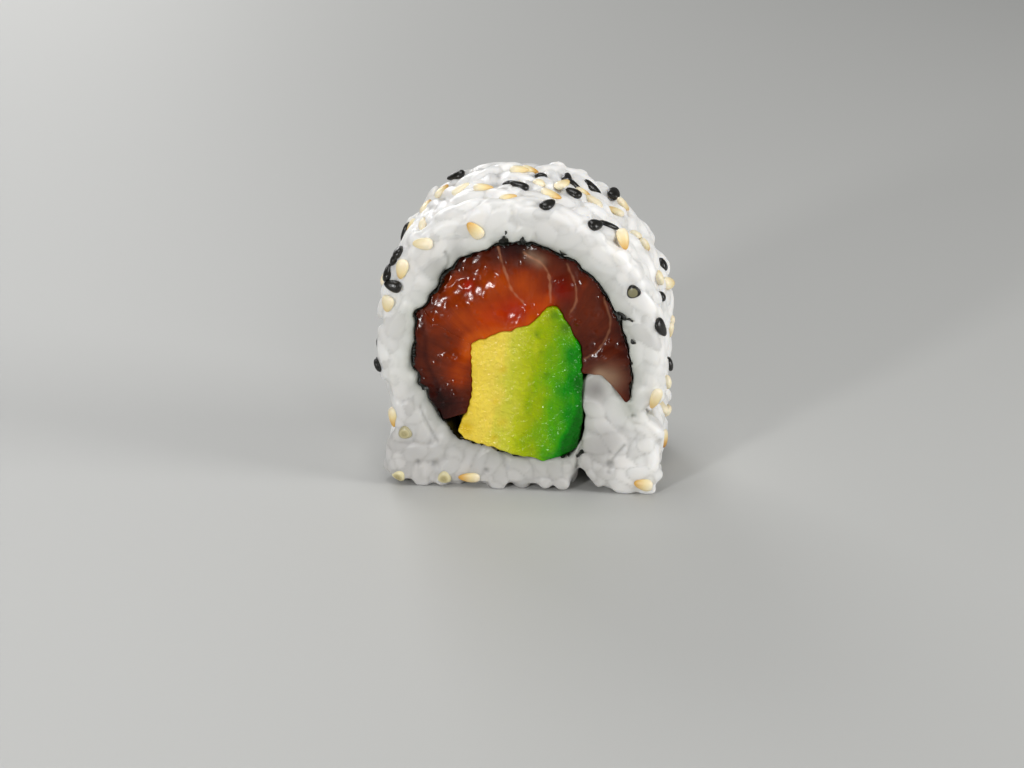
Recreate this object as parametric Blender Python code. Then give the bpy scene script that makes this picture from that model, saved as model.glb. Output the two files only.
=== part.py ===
"""One slice of an uramaki roll, lying on the flat of its rice, with cut faces to the front and the back.

The slice is a band of pressed sushi rice round a sheet of nori, which wraps two strips of salmon and a
stick of avocado. All of them run through from cut face to cut face, along Y. Sesame seeds stick to the rice.
Outlines are drawn in the cut plane as (x, z) in millimetres. The origin is on the table, under the middle.
"""

import math
import random

import bmesh
import bpy
from mathutils import Matrix, Vector, geometry, noise

MM = 0.001
UP = Vector((0, 0, 1))

# Driving sizes of the slice, in millimetres
SLICE = 24.0
HALF_WIDTH = 21.9
HEIGHT = 46.1
BASE_HALF_WIDTH = 20.9
ARCH_RADIUS = 21.4
LEFT_SHOULDER, RIGHT_SHOULDER = 19.5, 23.0
FOOT_RADIUS = 3.0
NOTCH_TOP = 4.3
CLEARANCE = 0.3

# Cooked rice grains and sesame seeds, as length, width and thickness
GRAIN = (6.2, 2.7, 2.3)
SEED = (3.4, 2.0, 1.2)
SEED_SUNK = 0.05
GRAIN_SPACING_OUTSIDE = 5.0
GRAIN_SPACING_ON_CUT = 3.6
CORE_INSET = 0.6
CUT_INSET = 0.5

# The nori's line round the filling: its radius at each angle from the middle of the filling
FILLING_MIDDLE = (0.4, 22.7)
NORI_RADIUS_AT = {
    -29: 18.6, -12: 17.0, 12: 15.65, 38: 15.45, 62: 16.2, 92: 17.25, 124: 16.95, 146: 16.2, 162: 16.9,
    186: 17.0, 197: 17.0, 204: 16.4, 211: 16.9, 226: 17.4, 238: 17.5, 250: 16.7, 270: 17.4, 294: 18.6,
}
NORI_THICKNESS = 0.4

# Spacing of points on lines that others are measured from, and the longest edges of an outline and a cut face
FINE = 0.4
LONGEST_EDGE = 2.2
RICE_EDGE = 5.0
RICE_TRIANGLES = 11400

# Roundings of the rice's outer and inner rims, of the fish and avocado, and of the nori, and the domed margin
RICE_RIMS = (1.3, 0.4)
SOFT_RIM = 0.2
NORI_RIM = 0.1
DOMED_MARGIN = 2.5
NORI_SHORT_OF_CUT = 0.3
FISH_SHORT_OF_CUT = 0.3

# The rice edge that was tucked in beside the avocado, from the seam up and over to the nori's end
TUCKED_RICE = ((9.6, 8.4), (9.95, 12.2), (9.5, 17.0), (10.5, 19.0), (11.9, 19.4), (13.2, 18.2), (15.2, 16.0))

# The avocado stick, counter-clockwise: corner points with the radius that rounds each
AVOCADO_CORNERS = (
    (-7.4, 23.7, 0.7), (-7.3, 15.2, 6.0), (-9.5, 9.6, 0.7), (-8.8, 8.1, 0.8), (3.4, 5.0, 5.0),
    (8.7, 5.9, 3.2), (9.6, 12.0, 9.0), (9.3, 23.6, 7.0), (5.0, 30.9, 1.2), (2.0, 27.3, 4.0),
)

# Where the left salmon strip meets the upper one, from the nori in to the avocado's corner
STRIP_JOINT = ((-16.0, 29.0), (-12.6, 28.3), (-10.1, 26.1), (-7.8, 23.9))
LEFT_STRIP_FOOT = (-11.9, 11.0)
AVOCADO_FOOT = (-8.6, 12.0)

# Sesame seeds on the outside: angle round the arch from +X, distance back from the front cut, turn
OUTSIDE_SEEDS = (
    (134, 6.0, 85), (107, 8.3, 5), (128, 17.2, 60), (118, 12.5, 20), (137, 16.9, 70), (95, 16.5, 5),
    (91, 17.5, 30), (79, 6.5, 5), (76, 12.8, 60), (85, 11.4, 90), (67, 14.4, 40), (61, 12.8, 160),
    (51, 14.9, 150), (48, 18.6, 30), (38, 13.0, 60), (33, 12.5, 45), (19, 10.8, 100), (10, 18.0, 70),
    (-10, 16.8, 30), (-9, 20.5, 80), (-20, 5.0, 60), (-34, 11.9, 130), (-37, 14.5, 80), (-44, 14.0, 20),
    (123, 21.6, 165), (97, 11.7, 60), (93, 8.3, 170), (85, 16.2, 80), (79, 1.4, 60), (75, 17.6, 95),
    (71, 14.7, 10), (71, 10.2, 160), (63, 18.9, 20), (54, 21.1, 90), (53, 4.6, 10), (58, 1.4, 60),
    (13, 8.5, 80), (16, 20.5, 60), (5, 1.5, 30), (-19, 12.7, 90), (146, 1.2, 80), (150, 1.6, 120),
    (155, 1.2, 45), (194, 1.0, 90),
)

# Sesame seeds on the front cut: x, z, turn from +X
FACE_SEEDS = (
    (-6.8, 41.7, -47), (-14.7, 39.3, 0), (15.2, 39.9, 95), (-17.9, 35.2, 80), (-20.2, 29.5, 70),
    (-17.8, 8.7, 37), (-19.6, 10.9, 90), (-7.9, 1.6, 0), (19.0, 1.8, -10), (20.6, 15.8, 75),
    (-19.3, 32.5, -15), (17.0, 32.7, 50), (-18.9, 1.5, 0), (-11.8, 1.5, 30),
)
# More of them where the photo doesn't show, spaced by two steps that never fall into line
MORE_SEEDS = 30
MORE_FROM, MORE_TO = (96, 214)
MORE_STEPS = (0.618, 0.4656)


def rounded(corners, step):
    """A closed outline through (x, z, radius) corners, each turned by an arc, with points a step apart."""
    outline = []
    for index, (x, z, radius) in enumerate(corners):
        corner = Vector((x, z))
        before = (Vector(corners[index - 1][:2]) - corner).normalized()
        after = (Vector(corners[(index + 1) % len(corners)][:2]) - corner).normalized()
        half_angle = before.angle(after) / 2
        reach = radius / math.tan(half_angle)
        middle = corner + (before + after).normalized() * radius / math.sin(half_angle)
        start = corner + before * reach - middle
        end = corner + after * reach - middle
        turn = start.angle_signed(end)
        pieces = max(2, round(abs(turn) * radius / step))
        outline += [middle + Matrix.Rotation(-turn * i / pieces, 2) @ start for i in range(pieces + 1)]
    return resampled(outline, step, closed=True)


def resampled(points, step, closed):
    """The same line with points evenly spaced."""
    points = [Vector(p) for p in points]
    line = points + points[:1] if closed else points
    lengths = [(b - a).length for a, b in zip(line, line[1:])]
    total = sum(lengths)
    count = round(total / step)
    out, segment, passed = [], 0, 0.0
    for i in range(count if closed else count + 1):
        target = total * i / count
        while segment < len(lengths) - 1 and passed + lengths[segment] < target:
            passed += lengths[segment]
            segment += 1
        share = min(1.0, (target - passed) / max(lengths[segment], 1e-9))
        out.append(line[segment].lerp(line[segment + 1], share))
    return out


def smooth(points, step):
    """An open Catmull-Rom curve through the points, evenly spaced."""
    points = [Vector(p) for p in points]
    padded = [2 * points[0] - points[1]] + points + [2 * points[-1] - points[-2]]
    curve = []
    for a, b, c, d in zip(padded, padded[1:], padded[2:], padded[3:]):
        for i in range(8):
            t = i / 8
            bend = (2 * a - 5 * b + 4 * c - d) * t**2 + (3 * b - a - 3 * c + d) * t**3
            curve.append((2 * b + (c - a) * t + bend) / 2)
    return resampled(curve + [points[-1]], step, closed=False)


def normals(outline, closed=True):
    """Unit normals to the right of the direction of travel: outwards on a counter-clockwise outline."""
    out = []
    for i, point in enumerate(outline):
        before = outline[i - 1] if i or closed else point
        after = outline[(i + 1) % len(outline)] if i + 1 < len(outline) or closed else point
        along = (after - before).normalized()
        out.append(Vector((along.y, -along.x)))
    return out


def moved(outline, distance, closed=True):
    """Every point moved along its normal; a negative distance shrinks a counter-clockwise outline."""
    return [p + n * distance for p, n in zip(outline, normals(outline, closed))]


def distance_to(point, line, closed=False):
    """Shortest distance from a point to a line of points."""
    ends = line[1:] + line[:1] if closed else line[1:]
    best = math.inf
    for a, b in zip(line, ends):
        along = b - a
        share = max(0.0, min(1.0, (point - a).dot(along) / max(along.length_squared, 1e-12)))
        best = min(best, (point - a - along * share).length)
    return best


def inside(point, outline):
    """Whether a point lies within a closed outline."""
    found = False
    for a, b in zip(outline, outline[1:] + outline[:1]):
        if (a.y > point.y) != (b.y > point.y):
            if point.x < a.x + (point.y - a.y) / (b.y - a.y) * (b.x - a.x):
                found = not found
    return found


def nearest(line, point):
    """Index of the point of the line that is nearest to a place."""
    place = Vector(point)
    return min(range(len(line)), key=lambda i: (line[i] - place).length)


def nori_line():
    """The rice's inner wall where nori lines it, counter-clockwise from the tucked edge round to the seam."""
    middle = Vector(FILLING_MIDDLE)
    points = []
    for degrees, radius in NORI_RADIUS_AT.items():
        angle = math.radians(degrees)
        points.append(middle + Vector((math.cos(angle), math.sin(angle))) * radius)
    return smooth(points, FINE)


def tuck_line():
    """The rice's inner wall on the tucked edge, from the seam end of the nori to its other end."""
    wall = nori_line()
    return smooth([wall[-1], *TUCKED_RICE, wall[0]], FINE)


def hole_outline():
    """The whole inner wall of the rice, counter-clockwise."""
    return nori_line() + tuck_line()[1:-1]


def clear_of(points, limits, outline):
    """The points that lie inside the outline and keep the stated distance to each of the other lines."""
    slack = 0.02
    return [
        p
        for p in points
        if inside(p, outline) and all(distance_to(p, line) >= gap - slack for line, gap in limits)
    ]


def filling_room():
    """What nori and tucked rice leave for fish and avocado, counter-clockwise from the fish's tail."""
    wall, tuck, hole = nori_line(), tuck_line(), hole_outline()
    wall_gap = NORI_THICKNESS + 2 * CLEARANCE
    along_wall = clear_of(moved(wall, -wall_gap, closed=False), [(tuck, CLEARANCE)], hole)
    along_tuck = clear_of(moved(tuck, -CLEARANCE, closed=False), [(wall, wall_gap)], hole)
    return resampled(along_wall + along_tuck, FINE, closed=True)


def avocado_outline():
    """The avocado stick, squeezed to fit the room where it meets the nori and the tucked rice."""
    room = filling_room()
    stick = rounded(AVOCADO_CORNERS, FINE)
    return resampled([p if inside(p, room) else room[nearest(room, p)] for p in stick], FINE, closed=True)


def thinned(points, longest, closed=True):
    """Drops the points a line can do without: it keeps within the tolerance and breaks at the longest."""
    tolerance = 0.04
    line = points + points[:1] if closed else points
    kept = [0]
    for end in range(2, len(line)):
        chord = [line[kept[-1]], line[end]]
        off = max(distance_to(p, chord) for p in line[kept[-1] + 1 : end])
        if off > tolerance or (chord[1] - chord[0]).length > longest:
            kept.append(end - 1)
    return [line[i] for i in kept] + ([] if closed else [line[-1]])


def shrunk(outline, distance, walls):
    """The outline moved inwards, by less where any wall is near ahead, so that nothing crosses."""
    out = []
    for point, normal in zip(outline, normals(outline)):
        room = math.inf
        for wall in walls:
            for start, end in zip(wall, wall[1:] + wall[:1]):
                across = (end - start).cross(normal)
                if point in (start, end) or abs(across) < 1e-9:
                    continue
                share = (point - start).cross(normal) / across
                ahead = (start + (end - start) * share - point).dot(-normal)
                if 0 <= share <= 1 and ahead > 0:
                    room = min(room, ahead)
        out.append(point - normal * min(distance, room * 0.3))
    return out


def slab(name, loops, half, rims, relief, spacing, rows, roughness=0.0):
    """A body between two cut faces: loops are its outline and holes, whose rims are rounded off.

    The cut faces lie at half the thickness plus relief(x, z, side), which fades out towards the rims, on a
    mesh of points spaced as stated. The outer wall has the rows stated and is uneven by the roughness.
    """
    bm = bmesh.new()
    points, edges, flat_loops = [], [], []
    for loop, rim in zip(loops, rims):
        start = len(points)
        flat_loops.append(shrunk(loop, rim, loops))
        points += flat_loops[-1]
        edges += [(start + i, start + (i + 1) % len(loop)) for i in range(len(loop))]
    points += grid_inside(flat_loops, spacing)
    _, _, faces, _, _, _ = geometry.delaunay_2d_cdt(points, edges, [], 0, 1e-5)
    covered = [
        face
        for face in faces
        if sum(inside(sum((points[i] for i in face), Vector((0, 0))) / 3, loop) for loop in flat_loops) == 1
    ]

    def vertex(point, y, uneven=0.0):
        bump = noise.noise(Vector((point.x, y, point.y)) * 0.21) * uneven
        lift = max(0.0, min(1.0, point.y))
        return bm.verts.new(Vector((point.x + bump * 0.7, y, point.y + bump * lift)) * MM)

    from_rims = [min(distance_to(p, loop, closed=True) for loop in loops) for p in points]
    fade = [min(1.0, gap / DOMED_MARGIN) ** 0.6 for gap in from_rims]
    rings = {}
    for side in (-1, 1):
        flat = [vertex(p, side * (half + relief(p.x, p.y, side) * f)) for p, f in zip(points, fade)]
        for a, b, c in covered:
            bm.faces.new((flat[a], flat[b], flat[c]))
        start = 0
        for index, (loop, rim) in enumerate(zip(loops, rims)):
            ring = [flat[start : start + len(loop)]]
            for angle in (35, 90) if rim > 0.5 else (90,):
                depth = rim * (1 - math.cos(math.radians(angle)))
                share = math.sin(math.radians(angle))
                uneven = 0.0 if index else roughness * share
                line = [p.lerp(q, share) for p, q in zip(flat_loops[index], loop)]
                ring.append([vertex(p, side * (half - depth), uneven) for p in line])
            rings[side, index] = ring
            start += len(loop)
    for index, (loop, rim) in enumerate(zip(loops, rims)):
        uneven = 0.0 if index else roughness
        wall_rows = 1 if index else rows
        walls = [
            [vertex(p, (half - rim) * (2 * row / wall_rows - 1), uneven) for p in loop]
            for row in range(1, wall_rows)
        ]
        levels = rings[-1, index] + walls + rings[1, index][::-1]
        for lower, upper in zip(levels, levels[1:]):
            for i in range(len(loop)):
                j = (i + 1) % len(loop)
                bm.faces.new((lower[i], lower[j], upper[j], upper[i]))
    bmesh.ops.triangulate(bm, faces=bm.faces[:])
    bmesh.ops.recalc_face_normals(bm, faces=bm.faces[:])
    return body_of(name, bm)


def grid_inside(loops, spacing):
    """Staggered grid points inside the first loop, outside the others and clear of all of them."""
    xs = [p.x for p in loops[0]]
    zs = [p.y for p in loops[0]]
    row_height = spacing * math.sqrt(3) / 2
    found = []
    for row in range(int((max(zs) - min(zs)) / row_height) + 1):
        for column in range(int((max(xs) - min(xs)) / spacing) + 1):
            point = Vector((min(xs) + (column + row % 2 / 2) * spacing, min(zs) + row * row_height))
            if sum(inside(point, loop) for loop in loops) != 1:
                continue
            if min(distance_to(point, loop, closed=True) for loop in loops) > spacing * 0.5:
                found.append(point)
    return found


def body_of(name, bm):
    """A mesh object at the origin from a bmesh, shaded smooth except across sharp edges."""
    mesh = bpy.data.meshes.new(name)
    bm.to_mesh(mesh)
    bm.free()
    mesh.shade_smooth()
    mesh.set_sharp_from_angle(angle=math.radians(40))
    body = bpy.data.objects.new(name, mesh)
    bpy.context.scene.collection.objects.link(body)
    return body


def material(name, colour, roughness, subsurface=0.0):
    """A Principled material; colours are linear."""
    made = bpy.data.materials.new(name)
    made.use_nodes = True
    shader = made.node_tree.nodes["Principled BSDF"]
    shader.inputs["Base Color"].default_value = (*colour, 1)
    shader.inputs["Roughness"].default_value = roughness
    shader.inputs["Subsurface Weight"].default_value = subsurface
    made.diffuse_color = (*colour, 1)
    return made


def roll_outline(step, inset=0.0):
    """The slice's arch: a flat foot, a waist above it, and on the right the seam and notch of the last turn.

    The inset shrinks it all round except on the foot.
    """
    side, base, top = HALF_WIDTH - inset, BASE_HALF_WIDTH - inset, HEIGHT - inset
    corners = (
        (-base, 0, FOOT_RADIUS),
        (8.2 - inset, 0, 1.5),
        (8.75, NOTCH_TOP + inset * 0.5, 0.5),
        (12.5 + inset, 0, 2.2),
        (base + 0.3, 0, FOOT_RADIUS),
        (side - 0.4, 10.2, 1.3),
        (side - 2.8, 12.6, 0.7),
        (side - 0.1, 15.2, 1.8),
        (side + 0.1, top, RIGHT_SHOULDER - inset),
        (-side, top, LEFT_SHOULDER - inset),
        (-side, 19.5, 4.0),
        (-side + 2.0, 12.5, 4.0),
        (-side + 2.1, 8.6, 1.5),
        (-base, 6.0, 1.5),
    )
    return rounded(corners, step)


def lump(sizes, taper, sides, levels):
    """Vertices and faces of a grain or seed: a closed ovoid along X, narrowed towards -X by the taper."""
    length, width, thickness = (size / 2 for size in sizes)
    verts = [Vector((-length, 0, 0))]
    for level in range(1, levels):
        angle = math.pi * level / levels
        x = -math.cos(angle)
        girth = math.sin(angle) ** 0.8 * (1 + taper * x)
        for side in range(sides):
            turn = 2 * math.pi * (side + level % 2 / 2) / sides
            across = (math.cos(turn) * girth * width, math.sin(turn) * girth * thickness)
            verts.append(Vector((x * length, *across)))
    verts.append(Vector((length, 0, 0)))
    last = len(verts) - 1
    faces = []
    for side in range(sides):
        beside = (side + 1) % sides
        faces.append((0, 1 + beside, 1 + side))
        faces.append((last, last - sides + side, last - sides + beside))
        for level in range(levels - 2):
            low, high = 1 + level * sides, 1 + (level + 1) * sides
            if level % 2:
                faces.append((low + side, low + beside, high + side))
                faces.append((low + beside, high + beside, high + side))
            else:
                faces.append((low + side, low + beside, high + beside))
                faces.append((low + side, high + beside, high + side))
    return verts, faces


def place_lump(pieces, shape, at, along, out):
    """Adds one grain or seed to the collection, lifted where it would reach under the foot."""
    verts, faces = shape
    long_axis = (along - out * along.dot(out)).normalized()
    turn = Matrix((long_axis, out.cross(long_axis), out)).transposed()
    placed = [turn @ v + at for v in verts]
    lift = max(0.0, 0.06 - min(v.z for v in placed))
    mesh = bpy.data.meshes.new("lump")
    mesh.from_pydata([(v + UP * lift) * MM for v in placed], [], faces)
    pieces.objects.link(bpy.data.objects.new("lump", mesh))


def outside_at(outline, angle, back):
    """Place, outward normal and sideways direction on the slice's outside, at an angle round the arch."""
    middle = Vector((0, HEIGHT - ARCH_RADIUS))
    ray = Vector((math.cos(math.radians(angle)), math.sin(math.radians(angle))))
    index = max(range(len(outline)), key=lambda i: (outline[i] - middle).normalized().dot(ray))
    normal = normals(outline)[index]
    place = outline[index]
    at = Vector((place.x, back - SLICE / 2, place.y))
    return at, Vector((normal.x, 0, normal.y)), Vector((-normal.y, 0, normal.x))


def sprinkle_seeds(pieces, outline):
    """Sesame seeds: those that show from the front, and the rest of the sprinkle on the other side."""
    shape = lump(SEED, 0.35, 6, 3)
    spots = list(OUTSIDE_SEEDS)
    for index in range(MORE_SEEDS):
        share, depth = (index * step % 1 for step in MORE_STEPS)
        angle = MORE_FROM + (MORE_TO - MORE_FROM) * share
        back = SEED[0] + (SLICE - 2 * SEED[0]) * depth
        near = min(math.hypot(math.radians(angle - a) * ARCH_RADIUS, back - b) for a, b, _ in spots)
        if near > SEED[0]:
            spots.append((angle, back, index * 47))
    for angle, back, turn in spots:
        at, out, sideways = outside_at(outline, angle, back)
        along = Matrix.Rotation(math.radians(turn), 3, out) @ sideways
        at.y = short_of_cut(at.y, along, SEED[0], SEED[1])
        place_lump(pieces, shape, at - out * SEED_SUNK, along, out)
    for x, z, turn in FACE_SEEDS:
        along = Vector((math.cos(math.radians(turn)), 0, math.sin(math.radians(turn))))
        place_lump(pieces, shape, Vector((x, SEED_SUNK - SLICE / 2, z)), along, Vector((0, -1, 0)))


def short_of_cut(y, along, length, width):
    """The position along the roll, brought in so that a grain or seed lying this way isn't past the cut."""
    reach = math.hypot(along.y * length / 2, (1 - abs(along.y)) * width / 2)
    limit = SLICE / 2 - reach
    return max(-limit, min(limit, y))


def lay_outer_grains(pieces, outline, draw):
    """Grains pressed flat into the outside, in staggered rows round the arch, lying every way."""
    track = resampled(outline, GRAIN_SPACING_OUTSIDE, closed=True)
    outward = normals(track)
    columns = 5
    for index, (point, normal) in enumerate(zip(track, outward)):
        if point.y < 1.0 or (point.y < NOTCH_TOP and normal.y < 0):
            continue
        out = Vector((normal.x, 0, normal.y))
        sideways = Vector((-normal.y, 0, normal.x))
        for column in range(columns):
            size = draw.uniform(0.9, 1.08)
            shape = lump([s * size for s in GRAIN], 0.08, 5, 4)
            along = Matrix.Rotation(draw.uniform(0, math.pi), 3, out) @ sideways
            share = (column + 0.25 + index % 2 / 2 + draw.uniform(-0.2, 0.2)) / columns
            y = short_of_cut((share - 0.5) * SLICE, along, GRAIN[0] * size, GRAIN[1] * size)
            depth = GRAIN[2] * size / 2 - draw.uniform(-0.15, 0.25)
            at = Vector((point.x, y, point.y)) - out * depth + sideways * draw.uniform(-0.8, 0.8)
            place_lump(pieces, shape, at, along, out)


def lay_cut_grains(pieces, outline, hole, draw):
    """Grains that the knife laid bare on both cut faces, between the outline and the nori."""
    for side in (-1, 1):
        laid = []
        out = Vector((0, side, 0))
        for _ in range(4000):
            point = Vector((draw.uniform(-HALF_WIDTH, HALF_WIDTH), draw.uniform(1.4, HEIGHT)))
            if any((point - other).length < GRAIN_SPACING_ON_CUT for other in laid):
                continue
            if not inside(point, outline) or inside(point, hole):
                continue
            size = draw.uniform(0.8, 1.0)
            cut_length = GRAIN[0] * draw.uniform(0.6, 1.0)
            shape = lump((cut_length, GRAIN[1] * size, GRAIN[2] * size), 0.05, 5, 3)
            along = Matrix.Rotation(draw.uniform(0, math.pi), 3, out) @ UP
            depth = GRAIN[2] * size / 2 - draw.uniform(0.0, 0.25)
            at = Vector((point.x, side * (SLICE / 2 - depth), point.y))
            reach = [at.xz + along.xz * cut_length * share for share in (-0.5, -0.25, 0.25, 0.5)]
            if any(inside(p, hole) or not inside(p, outline) for p in reach):
                continue
            if min(distance_to(p, hole, closed=True) for p in reach[1:3]) < GRAIN[1] / 2 + 0.3:
                continue
            laid.append(point)
            place_lump(pieces, shape, at, along, out)


def fuse(core, pieces):
    """Joins the lumps to the core in one union, keeps the one large shell and removes the lumps."""
    join = core.modifiers.new("fused", "BOOLEAN")
    join.operation = "UNION"
    join.operand_type = "COLLECTION"
    join.collection = pieces
    join.solver = "MANIFOLD"
    graph = bpy.context.evaluated_depsgraph_get()
    fused = bpy.data.meshes.new_from_object(core.evaluated_get(graph))
    core.modifiers.remove(join)
    for piece in list(pieces.objects):
        bpy.data.objects.remove(piece)
    bpy.data.collections.remove(pieces)
    bm = bmesh.new()
    bm.from_mesh(fused)
    keep_largest_shell(bm)
    bmesh.ops.triangulate(bm, faces=bm.faces[:])
    bm.to_mesh(core.data)
    bm.free()
    thin_out(core)
    core.data.shade_smooth()
    core.data.set_sharp_from_angle(angle=math.radians(40))


def thin_out(body):
    """Collapses the shortest of the edges that the union made, down to the body's share of triangles."""
    fewer = body.modifiers.new("fewer", "DECIMATE")
    fewer.ratio = RICE_TRIANGLES / len(body.data.polygons)
    graph = bpy.context.evaluated_depsgraph_get()
    thinner = bpy.data.meshes.new_from_object(body.evaluated_get(graph))
    body.modifiers.remove(fewer)
    body.data = thinner


def keep_largest_shell(bm):
    """Deletes every shell but the largest: loose scraps, and the walls of hollows that fusing sealed."""
    unseen, largest = set(bm.verts), []
    while unseen:
        shell, front = [], [unseen.pop()]
        while front:
            vert = front.pop()
            shell.append(vert)
            for edge in vert.link_edges:
                other = edge.other_vert(vert)
                if other in unseen:
                    unseen.remove(other)
                    front.append(other)
        if len(shell) > len(largest):
            shell, largest = largest, shell
        bmesh.ops.delete(bm, geom=shell, context="VERTS")


def make_rice():
    """The rice band with its grains and seeds, fused to one body round the filling's hole."""
    draw = random.Random(11)
    hole = hole_outline()
    loops = [roll_outline(2.8, CORE_INSET), thinned(hole, LONGEST_EDGE)[::-1]]
    core = slab("rice", loops, SLICE / 2 - CUT_INSET, RICE_RIMS, level, RICE_EDGE, 4, roughness=0.5)
    outline = roll_outline(0.6)
    pieces = bpy.data.collections.new("rice_pieces")
    bpy.context.scene.collection.children.link(pieces)
    lay_outer_grains(pieces, outline, draw)
    lay_cut_grains(pieces, outline, hole, draw)
    sprinkle_seeds(pieces, outline)
    fuse(core, pieces)
    core.data.materials.append(material("cooked_rice", (0.80, 0.79, 0.76), 0.35, 0.3))


def level(x, z, side):
    """The relief of a cut face without any."""
    return 0.0


def make_nori():
    """The nori sheet: an open turn against the rice's inner wall, its edges level with the cut faces."""
    wall = nori_line()
    trimmed = wall[3:-3]
    outer = thinned(moved(trimmed, -CLEARANCE, closed=False), LONGEST_EDGE, closed=False)
    inner = thinned(moved(trimmed, -CLEARANCE - NORI_THICKNESS, closed=False), LONGEST_EDGE, closed=False)
    half = SLICE / 2 - NORI_SHORT_OF_CUT
    nori = slab("nori", [outer + inner[::-1]], half, [NORI_RIM], level, RICE_EDGE, 4)
    nori.data.materials.append(material("toasted_nori", (0.008, 0.011, 0.008), 0.5))


def flake_relief(x, z, side):
    """The fish's cut face: muscle flakes stand out between creases that fan round the top of the avocado."""
    angle = math.atan2(z - 17.0, x - 2.0)
    flake = abs(math.sin(angle * 4.2 + 0.6 + 0.35 * side))
    swell = noise.noise(Vector((x * 0.17, side * 3.0, z * 0.17)))
    return 0.45 * flake**0.6 - 0.15 + 0.35 * swell


def make_salmon():
    """Two strips of salmon: the upper one arches over the avocado, the left one stands beside it."""
    room = filling_room()
    jacket = moved(avocado_outline(), CLEARANCE)[::-1]
    joint = [p for p in smooth(STRIP_JOINT, FINE) if inside(p, room)]
    joint_gap = CLEARANCE / 2
    shoulder = nearest(room, STRIP_JOINT[0])
    corner = nearest(jacket, STRIP_JOINT[-1])
    peak = nearest(room, TUCKED_RICE[3])

    over = room[:shoulder] + moved(joint, -joint_gap, closed=False)
    over += walk(jacket, corner, nearest(jacket, TUCKED_RICE[3])) + room[peak:]
    beside = room[shoulder : nearest(room, LEFT_STRIP_FOOT)]
    beside += walk(jacket, nearest(jacket, AVOCADO_FOOT), corner)
    beside += moved(joint, joint_gap, closed=False)[::-1]

    fish = material("salmon", (0.42, 0.09, 0.03), 0.25, 0.2)
    for name, path in (("salmon_over", over), ("salmon_left", beside)):
        outline = thinned(clear_of(path, [(joint, joint_gap)], hole_outline()), LONGEST_EDGE)
        half = SLICE / 2 - FISH_SHORT_OF_CUT
        strip = slab(name, [outline], half, [SOFT_RIM], flake_relief, LONGEST_EDGE, 2)
        strip.data.materials.append(fish)


def walk(loop, start, end):
    """The points of a closed loop from one index on to another."""
    return loop[start : end + 1] if start <= end else loop[start:] + loop[: end + 1]


def avocado_relief(x, z, side):
    """The avocado's cut face: slightly domed, and falling away to its outer side on the right."""
    fall = max(0.0, x - 6.4) / 3.2
    return 0.5 - 0.9 * fall**2 + 0.2 * noise.noise(Vector((x * 0.15, side * 2.0, z * 0.15)))


def make_avocado():
    """The avocado stick, through the middle of the slice."""
    outline = thinned(avocado_outline(), LONGEST_EDGE)
    stick = slab("avocado", [outline], SLICE / 2, [SOFT_RIM], avocado_relief, LONGEST_EDGE, 2)
    stick.data.materials.append(material("avocado", (0.50, 0.50, 0.06), 0.4, 0.2))


def centre_on_origin():
    """Moves everything so that the origin is at the bottom, in the middle of the length and the width."""
    bodies = [body for body in bpy.data.objects if body.type == "MESH"]
    places = [vert.co for body in bodies for vert in body.data.vertices]
    low = [min(p[axis] for p in places) for axis in range(3)]
    high = [max(p[axis] for p in places) for axis in range(3)]
    shift = Matrix.Translation((-(low[0] + high[0]) / 2, -(low[1] + high[1]) / 2, -low[2]))
    for body in bodies:
        body.data.transform(shift)


def main():
    for old in list(bpy.data.objects):
        bpy.data.objects.remove(old)
    make_rice()
    make_nori()
    make_salmon()
    make_avocado()
    centre_on_origin()


main()
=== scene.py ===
import functools
import math

import bpy
import numpy as np
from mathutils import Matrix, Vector


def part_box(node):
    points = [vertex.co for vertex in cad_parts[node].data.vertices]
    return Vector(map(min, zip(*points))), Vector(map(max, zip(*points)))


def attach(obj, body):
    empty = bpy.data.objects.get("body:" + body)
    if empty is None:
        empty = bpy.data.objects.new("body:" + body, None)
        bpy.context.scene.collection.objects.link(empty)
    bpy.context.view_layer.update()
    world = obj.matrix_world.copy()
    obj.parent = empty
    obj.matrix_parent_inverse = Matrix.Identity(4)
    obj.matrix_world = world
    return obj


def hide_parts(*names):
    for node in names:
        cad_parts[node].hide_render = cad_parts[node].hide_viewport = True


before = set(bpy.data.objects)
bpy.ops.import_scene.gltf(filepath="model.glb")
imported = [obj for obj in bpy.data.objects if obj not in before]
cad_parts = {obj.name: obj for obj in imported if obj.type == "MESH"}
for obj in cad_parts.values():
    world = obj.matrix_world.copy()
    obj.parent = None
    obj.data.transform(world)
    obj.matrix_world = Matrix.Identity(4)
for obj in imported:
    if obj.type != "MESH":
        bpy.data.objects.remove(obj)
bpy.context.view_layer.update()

# The pressed rice: short-grain rice, cooked, dressed with vinegar, spread on nori and rolled rice side out.
# A bamboo mat pressed it, which gives the slice its arch and flat foot, and a wet knife cut both faces.
# All sizes are in millimetres, and outlines are (x, z) in the plane of the cut.
MM = 0.001
HALF_SLICE = 12.0
SIDE, BASE, TOP = 21.9, 20.9, 46.1
ARCH_RADIUS = 21.4
WALL_POINTS, TUCK_POINTS, ARCH_POINTS = 520, 140, 420
ARCH_CORNERS = [
    (-BASE, 0, 3.0), (8.2, 0, 1.5), (8.75, 4.3, 0.5), (12.5, 0, 2.2), (BASE + 0.3, 0, 3.0),
    (SIDE - 0.4, 10.2, 1.3), (SIDE - 2.8, 12.6, 0.7), (SIDE - 0.1, 15.2, 1.8), (SIDE + 0.1, TOP, 23.0),
    (-SIDE, TOP, 19.5), (-SIDE, 19.5, 4.0), (-SIDE + 2.0, 12.5, 4.0), (-SIDE + 2.1, 8.6, 1.5),
    (-BASE, 6.0, 1.5),
]
FILLING_MIDDLE = np.array([0.4, 22.7])
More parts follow.
